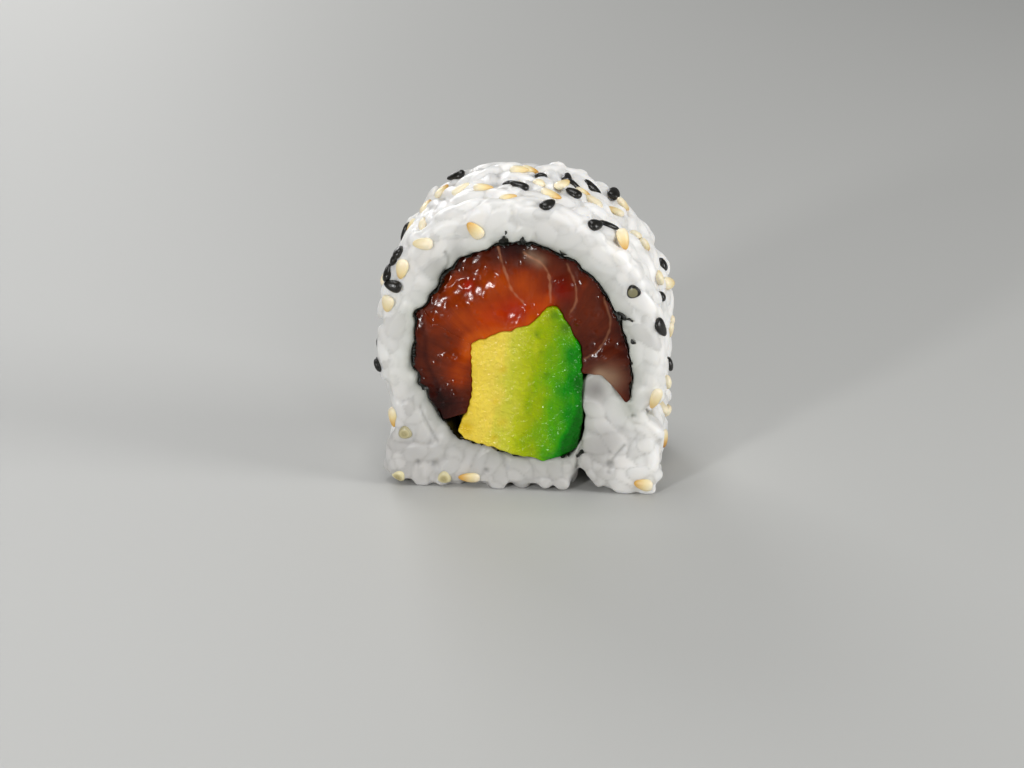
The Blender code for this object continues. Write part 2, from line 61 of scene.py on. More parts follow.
WALL_RADIUS_AT = {
    -29: 18.6, -12: 17.0, 12: 15.65, 38: 15.45, 62: 16.2, 92: 17.25, 124: 16.95, 146: 16.2, 162: 16.9,
    186: 17.0, 197: 17.0, 204: 16.4, 211: 16.9, 226: 17.4, 238: 17.5, 250: 16.7, 270: 17.4, 294: 18.6,
}
TUCKED_RICE = [
    (9.6, 8.4), (9.95, 12.2), (9.5, 17.0), (10.5, 19.0), (11.9, 19.4), (13.2, 18.2), (15.2, 16.0),
]
SHOULDER, FOOT_EDGE = 1.7, 0.6
# Spots of painted shade on the front cut's rice: x, z, reach and strength
RICE_SHADE_SPOTS = [
    (11.3, 16.8, 2.4, 0.95), (13.8, 9.0, 3.0, 0.3), (-17.5, 14.5, 4.0, 0.22), (-16.3, 5.7, 3.0, 0.12),
    (-9.2, 37.7, 1.8, 0.38), (-12.4, 35.8, 1.4, 0.35), (-16.0, 35.7, 3.0, 0.2), (4.3, 41.3, 5.0, 0.15),
]
TORN_WALL = [
    (-2.5, 40.2, 0.5, 0.8), (0.35, 40.3, 0.45, 0.75), (15.0, 28.8, 0.8, 0.7), (-17.0, 21.6, 1.7, 0.5),
    (-16.0, 16.2, 1.2, 0.45), (-14.4, 13.2, 0.7, 0.3), (-12.2, 34.6, 0.6, 0.4), (6.3, 38.5, 0.5, 0.25),
]
CREASES = [
    (0.3, [(-15.4, 13.0), (-14.2, 10.1), (-12.8, 7.4)]), (0.7, [(8.75, 3.8), (8.9, 5.6), (9.4, 8.2)]),
    (0.4, [(-11.4, 37.9), (-10.9, 36.5), (-11.6, 34.9)]), (0.35, [(16.0, 8.0), (14.2, 5.6), (13.6, 3.4)]),
]
PITS = [(-13.2, 3.7, 0.5), (-15.8, 3.9, 0.45), (13.9, 4.8, 0.6), (-5.2, 3.0, 0.4), (17.3, 12.8, 0.4)]
GRAIN = np.array([6.2, 2.75, 2.35])
LAYING = [(3.6, 1.05), (3.4, 2.2)]
CUT_LAYING = [(2.9, 0.9), (3.1, 2.0)]
UPRIGHT_GRAINS_BELOW = 15.0
VOXEL = 0.37
rng = np.random.default_rng(7)


def unit(vectors):
    """Vectors divided by their length."""
    return vectors / np.linalg.norm(vectors, axis=-1, keepdims=True)


def bell(gap, width):
    """A round bump across a line: exp(-(gap / width)²)."""
    return np.exp(-((gap / width) ** 2))


def evenly(line, count, closed=False):
    """The line with points evenly spaced along its length."""
    line = np.asarray(line, float)
    if closed:
        line = np.vstack([line, line[:1]])
    along = np.concatenate([[0], np.cumsum(np.linalg.norm(np.diff(line, axis=0), axis=1))])
    at = np.linspace(0, along[-1], count, endpoint=not closed)
    return np.stack([np.interp(at, along, line[:, axis]) for axis in range(line.shape[1])], axis=1)


def curve_through(points, count):
    """Catmull-Rom curve: cubics between points, the slope at each half the step between its neighbours."""
    p = np.asarray(points, float)
    p = np.vstack([2 * p[0] - p[1], p, 2 * p[-1] - p[-2]])
    t = np.linspace(0, 1, 12, endpoint=False)[None, :, None]
    a, b, c, d = (p[i : len(p) - 3 + i, None, :] for i in range(4))
    bent = b + (c - a) * t / 2 + (a - 2.5 * b + 2 * c - d / 2) * t**2
    bent = bent + (1.5 * b - a / 2 - 1.5 * c + d / 2) * t**3
    return evenly(np.vstack([bent.reshape(-1, p.shape[1]), p[-2:-1]]), count)


def rounded_outline(corners, count):
    """Closed outline through (x, z, radius) corners, each turned by an arc that touches both its sides."""
    xz = np.array([c[:2] for c in corners], float)
    radius = np.array([c[2] for c in corners], float)[:, None]
    before, after = (unit(np.roll(xz, way, axis=0) - xz) for way in (1, -1))
    half = np.arccos(np.clip((before * after).sum(1, keepdims=True), -1, 1)) / 2
    middle = xz + unit(before + after) * radius / np.sin(half)
    first = xz + before * radius / np.tan(half) - middle
    last = xz + after * radius / np.tan(half) - middle
    share = np.linspace(0, 1, 17)[None, :, None]
    blend = first[:, None] * (1 - share) + last[:, None] * share
    arcs = middle[:, None] + unit(blend) * radius[:, None]
    return evenly(arcs.reshape(-1, 2), count, closed=True)


def sideways(line, closed=False):
    """Unit direction to the left of a line's way, which is inward on a counter-clockwise outline."""
    step = np.roll(line, -1, axis=0) - np.roll(line, 1, axis=0) if closed else np.gradient(line, axis=0)
    return unit(np.stack([-step[:, 1], step[:, 0]], 1))


def nearest_on(points, line, closed):
    """For each point: its distance to the line, and the unit direction from the nearest place on it."""
    start, end = (line, np.roll(line, -1, axis=0)) if closed else (line[:-1], line[1:])
    along = end - start
    distance, direction = np.empty(len(points)), np.empty((len(points), 2))
    for i in range(0, len(points), 4000):
        away = points[i : i + 4000, None] - start
        share = np.clip((away * along).sum(2) / np.maximum((along**2).sum(1), 1e-12), 0, 1)
        away = away - along * share[..., None]
        gap = np.linalg.norm(away, axis=2)
        best = gap.argmin(1)
        rows = np.arange(len(best))
        distance[i : i + 4000] = gap[rows, best]
        direction[i : i + 4000] = away[rows, best] / np.maximum(gap[rows, best], 1e-9)[:, None]
    return distance, direction


def gap_to(grid, line, closed=False):
    """Distance from each point of a grid of (x, z) to a line."""
    return nearest_on(grid.reshape(-1, 2), line, closed)[0].reshape(grid.shape[:-1])


def near_line(grid, points, count=60):
    """Distance from each point of a grid of (x, z) to a smooth line through a few points."""
    return gap_to(grid, curve_through(points, count))


def at_depth(flat, y):
    """Points (x, y, z) from points (x, z) and their depth y."""
    return np.stack(np.broadcast_arrays(flat[..., 0], y, flat[..., 1]), -1)


def within(points, outline):
    """Whether points are inside a closed outline: a ray from each crosses it an odd number of times."""
    a, b = outline, np.roll(outline, -1, axis=0)
    x, z = points[:, 0, None], points[:, 1, None]
    spans = (a[:, 1] > z) != (b[:, 1] > z)
    rise = np.where(b[:, 1] == a[:, 1], 1e-9, b[:, 1] - a[:, 1])
    return (spans & (x < a[:, 0] + (z - a[:, 1]) / rise * (b[:, 0] - a[:, 0]))).sum(1) % 2 == 1


def outside_by(points, outline):
    """Signed distance to a closed outline, positive outside, and the direction in which it grows."""
    distance, direction = nearest_on(points, outline, closed=True)
    sign = np.where(within(points, outline), -1.0, 1.0)
    return distance * sign, direction * sign[:, None]


def soft_noise(points, seed, size):
    """Smooth random field of about unit spread: a sum of waves whose length is near the size given."""
    waves = np.random.default_rng(seed)
    turn = waves.normal(size=(24, points.shape[-1]))
    turn *= 2 * np.pi / size / np.linalg.norm(turn, axis=1, keepdims=True) * waves.uniform(0.6, 1.5, (24, 1))
    return np.sin(points @ turn.T + waves.uniform(0, 2 * np.pi, 24)).sum(-1) / math.sqrt(12)


def closeness(flat, spots):
    """Sum of round bumps over points: each spot is x, z, its reach and, where given, its height."""
    total = np.zeros(flat.shape[:-1])
    for x, z, reach, *height in spots:
        gap = (flat[..., 0] - x) ** 2 + (flat[..., 1] - z) ** 2
        total += (height[0] if height else 1.0) * np.exp(-gap / reach**2)
    return total


angles = np.radians(list(WALL_RADIUS_AT))
radii = np.array(list(WALL_RADIUS_AT.values()))
spokes = np.stack([np.cos(angles), np.sin(angles)], 1) * radii[:, None]
wall = curve_through(FILLING_MIDDLE + spokes, WALL_POINTS)
tuck = curve_through([wall[-1], *TUCKED_RICE, wall[0]], TUCK_POINTS)
hole = np.vstack([wall, tuck[1:-1]])
rougher_left = np.interp(wall[:, 0], [-15, -9], [1.7, 1])
uneven = 0.13 * rougher_left * soft_noise(wall, 31, 3.8) + 0.06 * soft_noise(wall, 32, 1.4)
torn = closeness(wall, TORN_WALL)
uneven_wall = wall - sideways(wall) * uneven[:, None]
torn_wall = uneven_wall - sideways(wall) * torn[:, None]
TUCK_BULGE = 0.17
bulge = TUCK_BULGE - 0.08 * soft_noise(tuck, 33, 2.0)
torn_hole = np.vstack([torn_wall, (tuck + sideways(tuck) * bulge[:, None])[1:-1]])
arch = rounded_outline(ARCH_CORNERS, ARCH_POINTS)

# The solids are centred on their box, so the drawing's zero is found again from the nori's place
NORI_GAP = 0.3
nori_low, nori_high = (np.array(corner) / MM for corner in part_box("nori"))
DRAWING_ZERO = np.array([nori_low[0] - (wall[:, 0].min() + NORI_GAP), (nori_low[1] + nori_high[1]) / 2, 0.0])


def make_piece(name, points, faces, material, stands_for, values):
    """A smooth-shaded piece from points in drawing millimetres, riding on the roll, with its point values."""
    mesh = bpy.data.meshes.new(name)
    faces = faces if isinstance(faces, list) else faces.tolist()
    mesh.from_pydata((points + DRAWING_ZERO) * MM, [], faces)
    mesh.shade_smooth()
    for label, numbers in values.items():
        column = mesh.attributes.new(label, "FLOAT", "POINT").data
        column.foreach_set("value", np.asarray(numbers, np.float32))
    mesh.materials.append(material)
    piece = bpy.data.objects.new(name, mesh)
    bpy.context.scene.collection.objects.link(piece)
    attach(piece, "root")
    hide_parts(stands_for)


def grid_faces(rows, columns, close_rows=False, close_columns=False):
    """Quads between neighbouring points of a grid numbered row by row."""
    row = np.arange(rows if close_rows else rows - 1)[:, None]
    column = np.arange(columns if close_columns else columns - 1)[None]
    next_row, next_column = (row + 1) % rows, (column + 1) % columns
    corners = [row * columns + column, row * columns + next_column]
    corners += [next_row * columns + next_column, next_row * columns + column]
    return np.stack([c.ravel() for c in corners], 1)


def lumps(centres, axes, sizes, profile, sides=9, rings=6):
    """Many closed ovoids at once: rings round a long axis, with girth and bend by a profile of x along it."""
    x = -np.cos(np.linspace(0, np.pi, rings + 2)[1:-1])
    turn = np.linspace(0, 2 * np.pi, sides, endpoint=False)
    girth, bend = profile(x)
    across = np.cos(turn)[None] * girth[:, None]
    up = np.sin(turn)[None] * girth[:, None] + bend[:, None]
    body = np.stack([x[:, None] + 0 * across, across, up], 2).reshape(-1, 3)
    local = np.vstack([[-1, 0, 0], body, [1, 0, 0]])
    points = np.einsum("nvk,nkj->nvj", local[None] * sizes[:, None] / 2, axes) + centres[:, None]
    quads = grid_faces(rings, sides, close_columns=True) + 1
    around = np.arange(sides)
    tip = np.stack([0 * around, (around + 1) % sides + 1, around + 1], 1)
    base = 1 + (rings - 1) * sides
    tail = np.stack([0 * around + len(local) - 1, base + around, base + (around + 1) % sides], 1)
    offset = (np.arange(len(centres)) * len(local))[:, None, None]
    faces = (quads[None] + offset).reshape(-1, 4).tolist()
    faces += (np.vstack([tip, tail])[None] + offset).reshape(-1, 3).tolist()
    return points.reshape(-1, 3), faces, local


def axes_from(out, along):
    """Right-handed frames: first axis along the surface, third axis out of it."""
    along = unit(along - out * (along * out).sum(1, keepdims=True))
    return np.stack([along, np.cross(out, along), out], 1)


def outer_places(spacing, depth, seed):
    """Staggered, shaken places on the arch's outside, with the way out and the way round at each."""
    shake = np.random.default_rng(seed)
    length = np.linalg.norm(np.diff(arch, axis=0, append=arch[:1]), axis=1).sum()
    across, back = int(length / spacing), int(2 * HALF_SLICE / spacing)
    u, v = np.meshgrid(np.arange(across) + 0.0, np.arange(back) + 0.5, indexing="ij")
    u = (u + (v % 2) * 0.5 + shake.uniform(-0.33, 0.33, u.shape)).ravel() / across % 1
    v = ((v + shake.uniform(-0.33, 0.33, v.shape)).ravel() / back - 0.5) * 2 * (HALF_SLICE - 0.6)
    track = np.linspace(0, 1, len(arch), endpoint=False)
    place = np.stack([np.interp(u, track, arch[:, k], period=1) for k in (0, 1)], 1)
    inward = sideways(arch, closed=True)
    inward = np.stack([np.interp(u, track, inward[:, k], period=1) for k in (0, 1)], 1)
    out = unit(at_depth(-inward, 0.0))
    sunk = depth + shake.uniform(-0.25, 0.25, (len(u), 1))
    return at_depth(place, v) - out * sunk, out, np.stack([-out[:, 2], 0 * u, out[:, 0]], 1)


def cut_places(spacing, depth, side, seed):
    """Shaken places on a cut face between arch and hole, with the way out and the way round the filling."""
    shake = np.random.default_rng(seed)
    x, z = np.meshgrid(np.arange(-SIDE, SIDE, spacing), np.arange(0.8, TOP, spacing * 0.87), indexing="ij")
    x = x + (np.arange(x.shape[1])[None] % 2) * spacing / 2
    spots = np.stack([x.ravel(), z.ravel()], 1) + shake.uniform(-0.3, 0.3, (x.size, 2)) * spacing
    spots = spots[(outside_by(spots, arch)[0] < -1.1) & (outside_by(spots, hole)[0] > 1.0)]
    out = np.tile([0.0, side, 0.0], (len(spots), 1))
    radial = spots - FILLING_MIDDLE
    round_way = unit(np.stack([-radial[:, 1], 0 * radial[:, 0], radial[:, 0]], 1))
    y = side * (HALF_SLICE - depth - shake.uniform(-0.3, 0.5, len(spots)))
    return at_depth(spots, y), out, round_way


def rice_grain(x):
    """A cooked grain's girth and bend along it: full in the middle, blunt at the ends, slightly bent."""
    return (1 - x**2) ** 0.42, 0.12 * (1 - 2 * x**2)


def lay_grains():
    """Grains near the surface: any way outside, round the filling on a cut, and towards it at the foot."""
    sets = [outer_places(*laid, seed) for seed, laid in enumerate(LAYING, 1)]
    for side in (-1, 1):
        sets += [cut_places(*laid, side, 4 + side + 10 * index) for index, laid in enumerate(CUT_LAYING)]
    centres, out, round_way = (np.vstack([s[k] for s in sets]) for k in range(3))
    count = len(centres)
    on_cut = np.abs(out[:, 1]) > 0.5
    low = on_cut & (centres[:, 2] < UPRIGHT_GRAINS_BELOW)
    spin = rng.uniform(0, np.pi, count)
    spin[on_cut & ~low] = rng.normal(0, 0.6, (on_cut & ~low).sum())
    spin[low] = np.pi / 2 + 0.6 * soft_noise(centres[low], 12, 9.0) + rng.normal(0, 0.3, low.sum())
    side_way = np.cross(out, round_way)
    along = round_way * np.cos(spin)[:, None] + side_way * np.sin(spin)[:, None]
    tilt = rng.normal(0, 0.16, (count, 1)) + low[:, None] * rng.normal(0, 0.15, (count, 1))
    along, out = along * np.cos(tilt) + out * np.sin(tilt), out * np.cos(tilt) - along * np.sin(tilt)
    sizes = GRAIN * rng.normal(1, 0.06, (count, 3)).clip(0.8, 1.15)
    sizes[on_cut, 0] *= rng.uniform(0.75, 1.1, on_cut.sum())
    sizes[low, 0] *= rng.uniform(0.8, 1.0, low.sum())
    return centres, axes_from(out, along), sizes


def rice_core():
    """The mass behind the grains: a ring between arch and hole, swept from one cut face to the other."""
    outer = arch + sideways(arch, closed=True) * 0.9
    outer[:, 1] = np.maximum(outer[:, 1], 0.3)
    inner = evenly(torn_hole, len(outer), closed=True)
    bearing = [np.arctan2(*(line - FILLING_MIDDLE).T[::-1]) for line in (outer, inner)]
    inner = np.roll(inner, -np.abs(np.angle(np.exp(1j * (bearing[1] - bearing[0][0])))).argmin(), axis=0)
    half = HALF_SLICE - 0.32
    rings = [(outer, -half), (outer, half), (inner, half), (inner, -half)]
    points = np.stack([at_depth(*ring) for ring in rings], 1)
    return points.reshape(-1, 3), grid_faces(len(outer), 4, close_rows=True, close_columns=True).tolist()


def fused(points, faces, voxel):
    """One skin over closed shells that overlap, as cooked grains stick together: a remesh, read as arrays."""
    mesh = bpy.data.meshes.new("fusing")
    mesh.from_pydata(points * MM, [], faces)
    holder = bpy.data.objects.new("fusing", mesh)
    bpy.context.scene.collection.objects.link(holder)
    skin = holder.modifiers.new("skin", "REMESH")
    skin.mode = "VOXEL"
    skin.voxel_size = voxel * MM
    soften = holder.modifiers.new("soften", "SMOOTH")
    soften.factor = 0.5
    soften.iterations = 4
    result = bpy.data.meshes.new_from_object(holder.evaluated_get(bpy.context.evaluated_depsgraph_get()))
    co = np.empty(len(result.vertices) * 3, np.float32)
    result.vertices.foreach_get("co", co)
    corners = np.empty(len(result.loops), np.int32)
    result.loops.foreach_get("vertex_index", corners)
    bpy.data.objects.remove(holder)
    bpy.data.meshes.remove(mesh)
    bpy.data.meshes.remove(result)
    return co.reshape(-1, 3).astype(float) / MM, corners.reshape(-1, 4)


def pressed(points):
    """The mat and the knife push back most of what stands past the arch, its round shoulders or a cut.

    The knife drags the rice down round the filling, so the cut falls off a little towards the hole, and opens
    a few creases between clumps. Returns the points, their distance to the hole and their depth in a crease.
    """
    past_arch, arch_way = outside_by(points[:, [0, 2]], arch)
    past_cut = np.abs(points[:, 1]) - HALF_SLICE
    shoulder = FOOT_EDGE + (SHOULDER - FOOT_EDGE) * np.clip(points[:, 2] / 2, 0, 1)
    a_out, b_out = np.maximum(past_arch + shoulder, 0), np.maximum(past_cut + shoulder, 0)
    reach = np.hypot(a_out, b_out)
    past = np.minimum(np.maximum(past_arch, past_cut) + shoulder, 0) + reach - shoulder
    kept = 0.55 - 0.4 * b_out / np.maximum(reach, 1e-9)
    push = np.maximum(past, 0) * (1 - kept)
    side = np.sign(points[:, 1])
    way = np.stack([arch_way[:, 0] * a_out, side * b_out, arch_way[:, 1] * a_out], 1)
    moved = points - way / np.maximum(reach, 1e-9)[:, None] * push[:, None]
    from_hole, hole_way = outside_by(moved[:, [0, 2]], torn_hole)
    moved[:, [0, 2]] += np.maximum(-from_hole, 0)[:, None] * hole_way
    near_cut = np.clip(past_cut + 1.5, 0, 1)
    crease = 0.6 * closeness(moved[:, [0, 2]], PITS)
    for depth, line in CREASES:
        crease = np.maximum(crease, depth * bell(near_line(moved[:, [0, 2]], line, 30), 0.25))
    moved[:, 1] -= side * near_cut * (0.2 * np.exp(-np.maximum(from_hole, 0) / 0.4) + crease)
    moved[:, 2] = np.maximum(moved[:, 2], 0.02)
    return moved, np.maximum(from_hole, 0), crease * near_cut


def grain_fields(points, centres, axes, sizes):
    """Per point: which grain it belongs to, and how near it is to the seam with the next grain."""
    frames = np.transpose(axes, (0, 2, 1)) / (sizes[:, None, :] / 2)
    offset = np.einsum("nj,njk->nk", centres, frames)
    owner, seam = np.empty(len(points), int), np.empty(len(points))
    for i in range(0, len(points), 3000):
        local = np.einsum("pj,njk->pnk", points[i : i + 3000], frames) - offset
        reach = (local**2).sum(2)
        two = np.partition(reach, 1, axis=1)[:, :2]
        owner[i : i + 3000] = reach.argmin(1)
        seam[i : i + 3000] = np.exp(-((np.sqrt(two[:, 1]) - np.sqrt(two[:, 0])) / 0.12))
    return owner, seam


def linear(code):
    """sRGB hex colour to linear RGBA: (c + 0.055) / 1.055 to the power 2.4, or c / 12.92 where dark."""
    c = np.array([int(code[i : i + 2], 16) for i in (1, 3, 5)]) / 255
    return (*np.where(c > 0.04045, ((c + 0.055) / 1.055) ** 2.4, c / 12.92), 1)


RGBA = {"data_type": "RGBA"}


def add_node(tree, kind, settings=None, stops=(), **links):
    """Adds a shader node with its settings and colour stops, and returns its outputs.

    A socket, by name or by _number, is linked to another socket or to the point value that a word names, or
    set to a number or to a hex colour.
    """
    node = tree.nodes.new("ShaderNode" + kind)
    for name, value in (settings or {}).items():
        setattr(node, name, value)
    for index, (position, code) in enumerate(stops):
        ramp = node.color_ramp.elements
        stop = ramp[index] if index < len(ramp) else ramp.new(position)
        stop.position, stop.color = position, linear(code)
    for name, value in links.items():
        socket = node.inputs[int(name[1:])] if name[0] == "_" else node.inputs[name.replace("_", " ")]
        if isinstance(value, str):
            point_value = {"attribute_name": value}
            value = linear(value) if value[0] == "#" else add_node(tree, "Attribute", point_value)["Fac"]
        if isinstance(value, bpy.types.NodeSocket):
            tree.links.new(value, socket)
        else:
            socket.default_value = value
    return node.outputs


def new_surface(name):
    """A material, the function that adds its nodes, its Principled shader and its Object coordinates."""
    made = bpy.data.materials.new(name)
    made.use_nodes = True
    add = functools.partial(add_node, made.node_tree)
    return made, add, made.node_tree.nodes["Principled BSDF"], add("TexCoord")["Object"]


def finish_surface(shader, colour, height, depth, **sockets):
    """Links colour and a bump of the given depth in mm to the shader, and sets its constant sockets."""
    tree = shader.id_data
    bump = add_node(tree, "Bump", Strength=1.0, Distance=depth * MM, Height=height)
    tree.links.new(colour, shader.inputs["Base Color"])
    tree.links.new(bump[0], shader.inputs["Normal"])
    for name, value in sockets.items():
        shader.inputs[name.replace("_", " ")].default_value = value


# Cooked rice is starch gel: white and cloudy in the grain, clearer and greyer at its ends and seams, and wet.
# Painted shade deepens the seams low down and in creases, greys the rice by the nori, and darkens the front
# cut low down and in spots
cooked_rice, add, shader, place = new_surface("cooked_short_grain_rice")
grain_stops = [(0.0, "#d2d0cd"), (0.5, "#e7e6e3"), (1.0, "#f3f1ee")]
rice_colour = add("ValToRGB", stops=grain_stops, _0="tone")[0]
# Greys mixed in for the seams, the rice by the nori and the painted shade on the front cut; seams and the
# rice by the nori carry painted shade too
for label, code in (("seam", "#a5a49d"), ("by_nori", "#a6aa9c"), ("soaked", "#989491")):
    rice_colour = add("Mix", RGBA, _0=label, _6=rice_colour, _7=code)[2]
film = add("TexNoise", Vector=place, Scale=1 / (0.9 * MM), Detail=3.0)["Fac"]
finish_surface(
    shader, rice_colour, film, 0.03, Roughness=0.36, IOR=1.38, Subsurface_Weight=0.6,
    Subsurface_Radius=(1.0, 0.92, 0.8), Subsurface_Scale=1.5 * MM,
)

grain_centres, grain_axes, grain_sizes = lay_grains()
grain_points, grain_skins, _ = lumps(grain_centres, grain_axes, grain_sizes, rice_grain)
core_points, core_faces = rice_core()
core_skins = [[corner + len(grain_points) for corner in face] for face in core_faces]
loose_skin, rice_faces = fused(np.vstack([grain_points, core_points]), grain_skins + core_skins, VOXEL)
owner, seam = grain_fields(loose_skin, grain_centres, grain_axes, grain_sizes)
rice_points, from_hole, crease = pressed(loose_skin)
low = np.clip((UPRIGHT_GRAINS_BELOW - rice_points[:, 2]) / 8, 0, 1)
# Painted shade: the front cut's rice greys towards the foot, fading out on the right
foot_shade = 0.42 * low * np.interp(rice_points[:, 0], [12, 17], [1, 0])
soaked = foot_shade + closeness(rice_points[:, [0, 2]], RICE_SHADE_SPOTS)
rice_values = {
    "tone": rng.beta(2.2, 1.3, len(grain_centres))[owner],
    # Seams between grains: partly clearer starch, partly painted shade, stronger low down and in creases
    "seam": np.maximum(seam * (0.17 + 0.26 * low), 1.3 * crease),
    # Painted shade at the hole's edge, with the dark nori showing through the thin rice there
    "by_nori": 0.75 * np.exp(-from_hole / 1.6),
    # Painted shade, laid on the front cut only
    "soaked": np.clip(soaked, 0, 1) * np.clip(-rice_points[:, 1] - 8, 0, 1),
}
make_piece("rice_pressed", rice_points, rice_faces, cooked_rice, "rice", rice_values)

# The nori: a sheet of toasted laver, a third of a millimetre thick once damp, wound one turn between rice and
# filling. The knife leaves its edge ragged and a little below the cut, with scraps dragged into the rice.
NORI_EDGE_DEPTH, NORI_POINTS = 0.34, 700
RAGGED_NORI = [
    (-15.4, 19.0, 4.5), (-13.5, 13.0, 3.0), (-1.0, 40.2, 3.0), (-12.5, 33.5, 2.5), (15.0, 28.5, 1.5),
]
nori_line = evenly(uneven_wall, NORI_POINTS)[4:-4]
nori_side = sideways(nori_line)
rows = 30
across = np.concatenate([np.linspace(-1, 1, rows), np.linspace(1, -1, rows)])
face_of = np.repeat([-1.0, 1.0], rows)
ragged = np.clip(closeness(nori_line, RAGGED_NORI), 0, 1)
edge_noise = [soft_noise(nori_line, 40 + k, 2.2) + 0.8 * soft_noise(nori_line, 50 + k, 0.7) for k in (0, 1)]
reach_front, reach_back = (HALF_SLICE - NORI_EDGE_DEPTH + 0.2 * noise + 0.35 * ragged for noise in edge_noise)
y = np.where(across < 0, across * reach_front[:, None], across * reach_back[:, None])
sheet = at_depth(nori_line[:, None], y)
crumple = 0.07 * soft_noise(sheet, 61, 2.6) + 0.05 * soft_noise(sheet, 62, 0.9)
thickness = 0.11 + 0.34 * ragged[:, None] + 0.08 * np.clip(soft_noise(sheet, 63, 1.6), -1, 1.6)
inset = 0.05 + thickness * (0.5 + 0.5 * face_of * np.clip((1 - np.abs(across)) * 12, 0.25, 1)) + crumple
inset -= closeness(nori_line, TORN_WALL)[:, None] * (face_of < 0) * np.abs(across) ** 8
sheet[..., 0] += nori_side[:, :1] * inset
sheet[..., 2] += nori_side[:, 1:] * inset

# Toasted laver is a felt of dried algae: almost black green, with a dull sheen, and glossier where it is damp
toasted_laver, add, shader, place = new_surface("toasted_laver_damp")
felt = add("TexNoise", Vector=place, Scale=1 / (0.6 * MM), Detail=5.0)["Fac"]
felt_colour = add("ValToRGB", stops=[(0.35, "#0a0c09"), (0.7, "#1d1f16")], _0=felt)[0]
finish_surface(shader, felt_colour, felt, 0.12, Roughness=0.42, IOR=1.45, Subsurface_Weight=0.0)

nori_quads = grid_faces(len(nori_line), 2 * rows, close_columns=True)
ends = []
for start, flip in ((0, False), ((len(nori_line) - 1) * 2 * rows, True)):
    a, b = start + np.arange(rows - 1), start + 2 * rows - 1 - np.arange(rows - 1)
    quad = np.stack([a, a + 1, b - 1, b], 1)
    ends.append(quad[:, ::-1] if flip else quad)


def facing_out(points, faces):
    """The faces, all turned over if the volume that they enclose comes out negative."""
    a, b, c = (points[faces[:, k]] for k in (0, 1, 2))
    d = points[faces[:, -1]]
    volume = (np.cross(a, b) * c).sum() + (np.cross(a, c) * d).sum()
    return faces[:, ::-1] if volume < 0 else faces


nori_points = sheet.reshape(-1, 3)
nori_faces = facing_out(nori_points, np.vstack([nori_quads, *ends]))
make_piece("nori_sheet", nori_points, nori_faces, toasted_laver, "nori", {})

# The salmon: two strips of raw fillet cut along the loin, one over the avocado and one on its left. The knife
# leaves moist flakes of muscle that swell a little, with thin pale lines of fat between them.
SPREAD_FROM = np.array([1.0, 16.0])
AVOCADO_CORNERS = [
    (-7.4, 23.7, 0.7), (-7.3, 15.2, 6.0), (-9.5, 9.6, 0.7), (-8.8, 8.1, 0.8), (3.4, 5.0, 5.0),
    (8.7, 5.9, 3.2), (9.6, 12.0, 9.0), (9.3, 23.6, 7.0), (5.0, 30.9, 1.2), (2.0, 27.3, 4.0),
]
JOINT_BEARING, TAIL_BEARING, LEFT_FOOT_BEARING = 139.0, -6.5, 202.0
FAT_LINES = [
    [(-3.4, 39.0), (-2.7, 36.6), (-2.0, 34.3), (-1.0, 32.0), (0.4, 30.4)],
    [(0.6, 38.2), (3.0, 37.0), (4.2, 35.3), (4.5, 33.4), (4.6, 30.6)],
    [(7.0, 36.6), (8.3, 33.5), (8.4, 30.8), (7.4, 28.8)],
    [(12.6, 31.6), (13.6, 28.5), (13.3, 25.8), (11.8, 23.3), (9.7, 21.7)],
]
FAT_STRENGTH = [0.5, 0.55, 0.36, 0.28]
# A line of painted shade in the seam between the left lobes
DARK_SEAM = [(-15.4, 27.6), (-14.5, 24.2), (-14.4, 20.8), (-13.0, 17.4), (-12.2, 14.6)]
GLOW = [
    (0.6, 33.8, 3.6, 0.28), (-4.5, 33.5, 3.2, 0.24), (-8.3, 21.5, 2.6, 0.17), (-4.2, 27.6, 3.6, 0.34),
    (2.3, 29.2, 2.6, 0.25), (-9.3, 27.5, 3.0, 0.22), (-9.6, 18.0, 2.2, 0.27), (-11.7, 14.0, 3.2, -0.34),
    (-0.8, 39.3, 3.2, -0.3), (9.4, 22.6, 3.2, -0.14), (14.8, 24.0, 3.0, -0.08), (-14.6, 27.0, 2.5, 0.1),
    (6.3, 33.2, 1.9, -0.2), (-11.2, 32.4, 2.6, 0.24), (9.7, 33.5, 2.0, 0.06),
]
# A line of painted light on the flesh along the avocado's top edge
LIT_EDGE = [(-8.0, 22.0), (-7.6, 24.4), (-2.0, 25.8), (2.6, 28.4), (4.6, 31.2)]
FILM = [(1.5, 38.0, 0.9, 0.35), (2.9, 37.2, 1.0, 0.45), (13.4, 18.8, 2.0, 0.6), (12.0, 19.6, 0.9, 0.4)]
RED = [
    (-0.8, 29.0, 2.4, 0.6), (-4.6, 28.0, 2.4, 0.35), (-7.9, 32.6, 0.9, 0.8), (6.2, 32.6, 2.0, 0.3),
    (3.4, 29.4, 1.6, 0.4),
]
WET = [
    (-10.8, 34.0, 4.2, 1.0), (-7.0, 34.5, 3.0, 0.7), (-11.2, 21.6, 1.6, 0.9), (-3.5, 28.6, 2.2, 0.6),
    (0.5, 29.6, 2.0, 0.6), (11.3, 26.0, 1.8, 0.6), (11.8, 22.4, 1.8, 0.7), (8.6, 35.2, 2.2, 0.5),
    (-14.0, 27.5, 2.5, 0.5), (-10.5, 16.5, 2.5, 0.4),
]
FOLD_FROM, FOLD_WAY = np.array([-7.8, 30.6]), np.array([-0.53, 0.85])
FOLD_SLOPE, FOLD_END = 0.37, -4.6
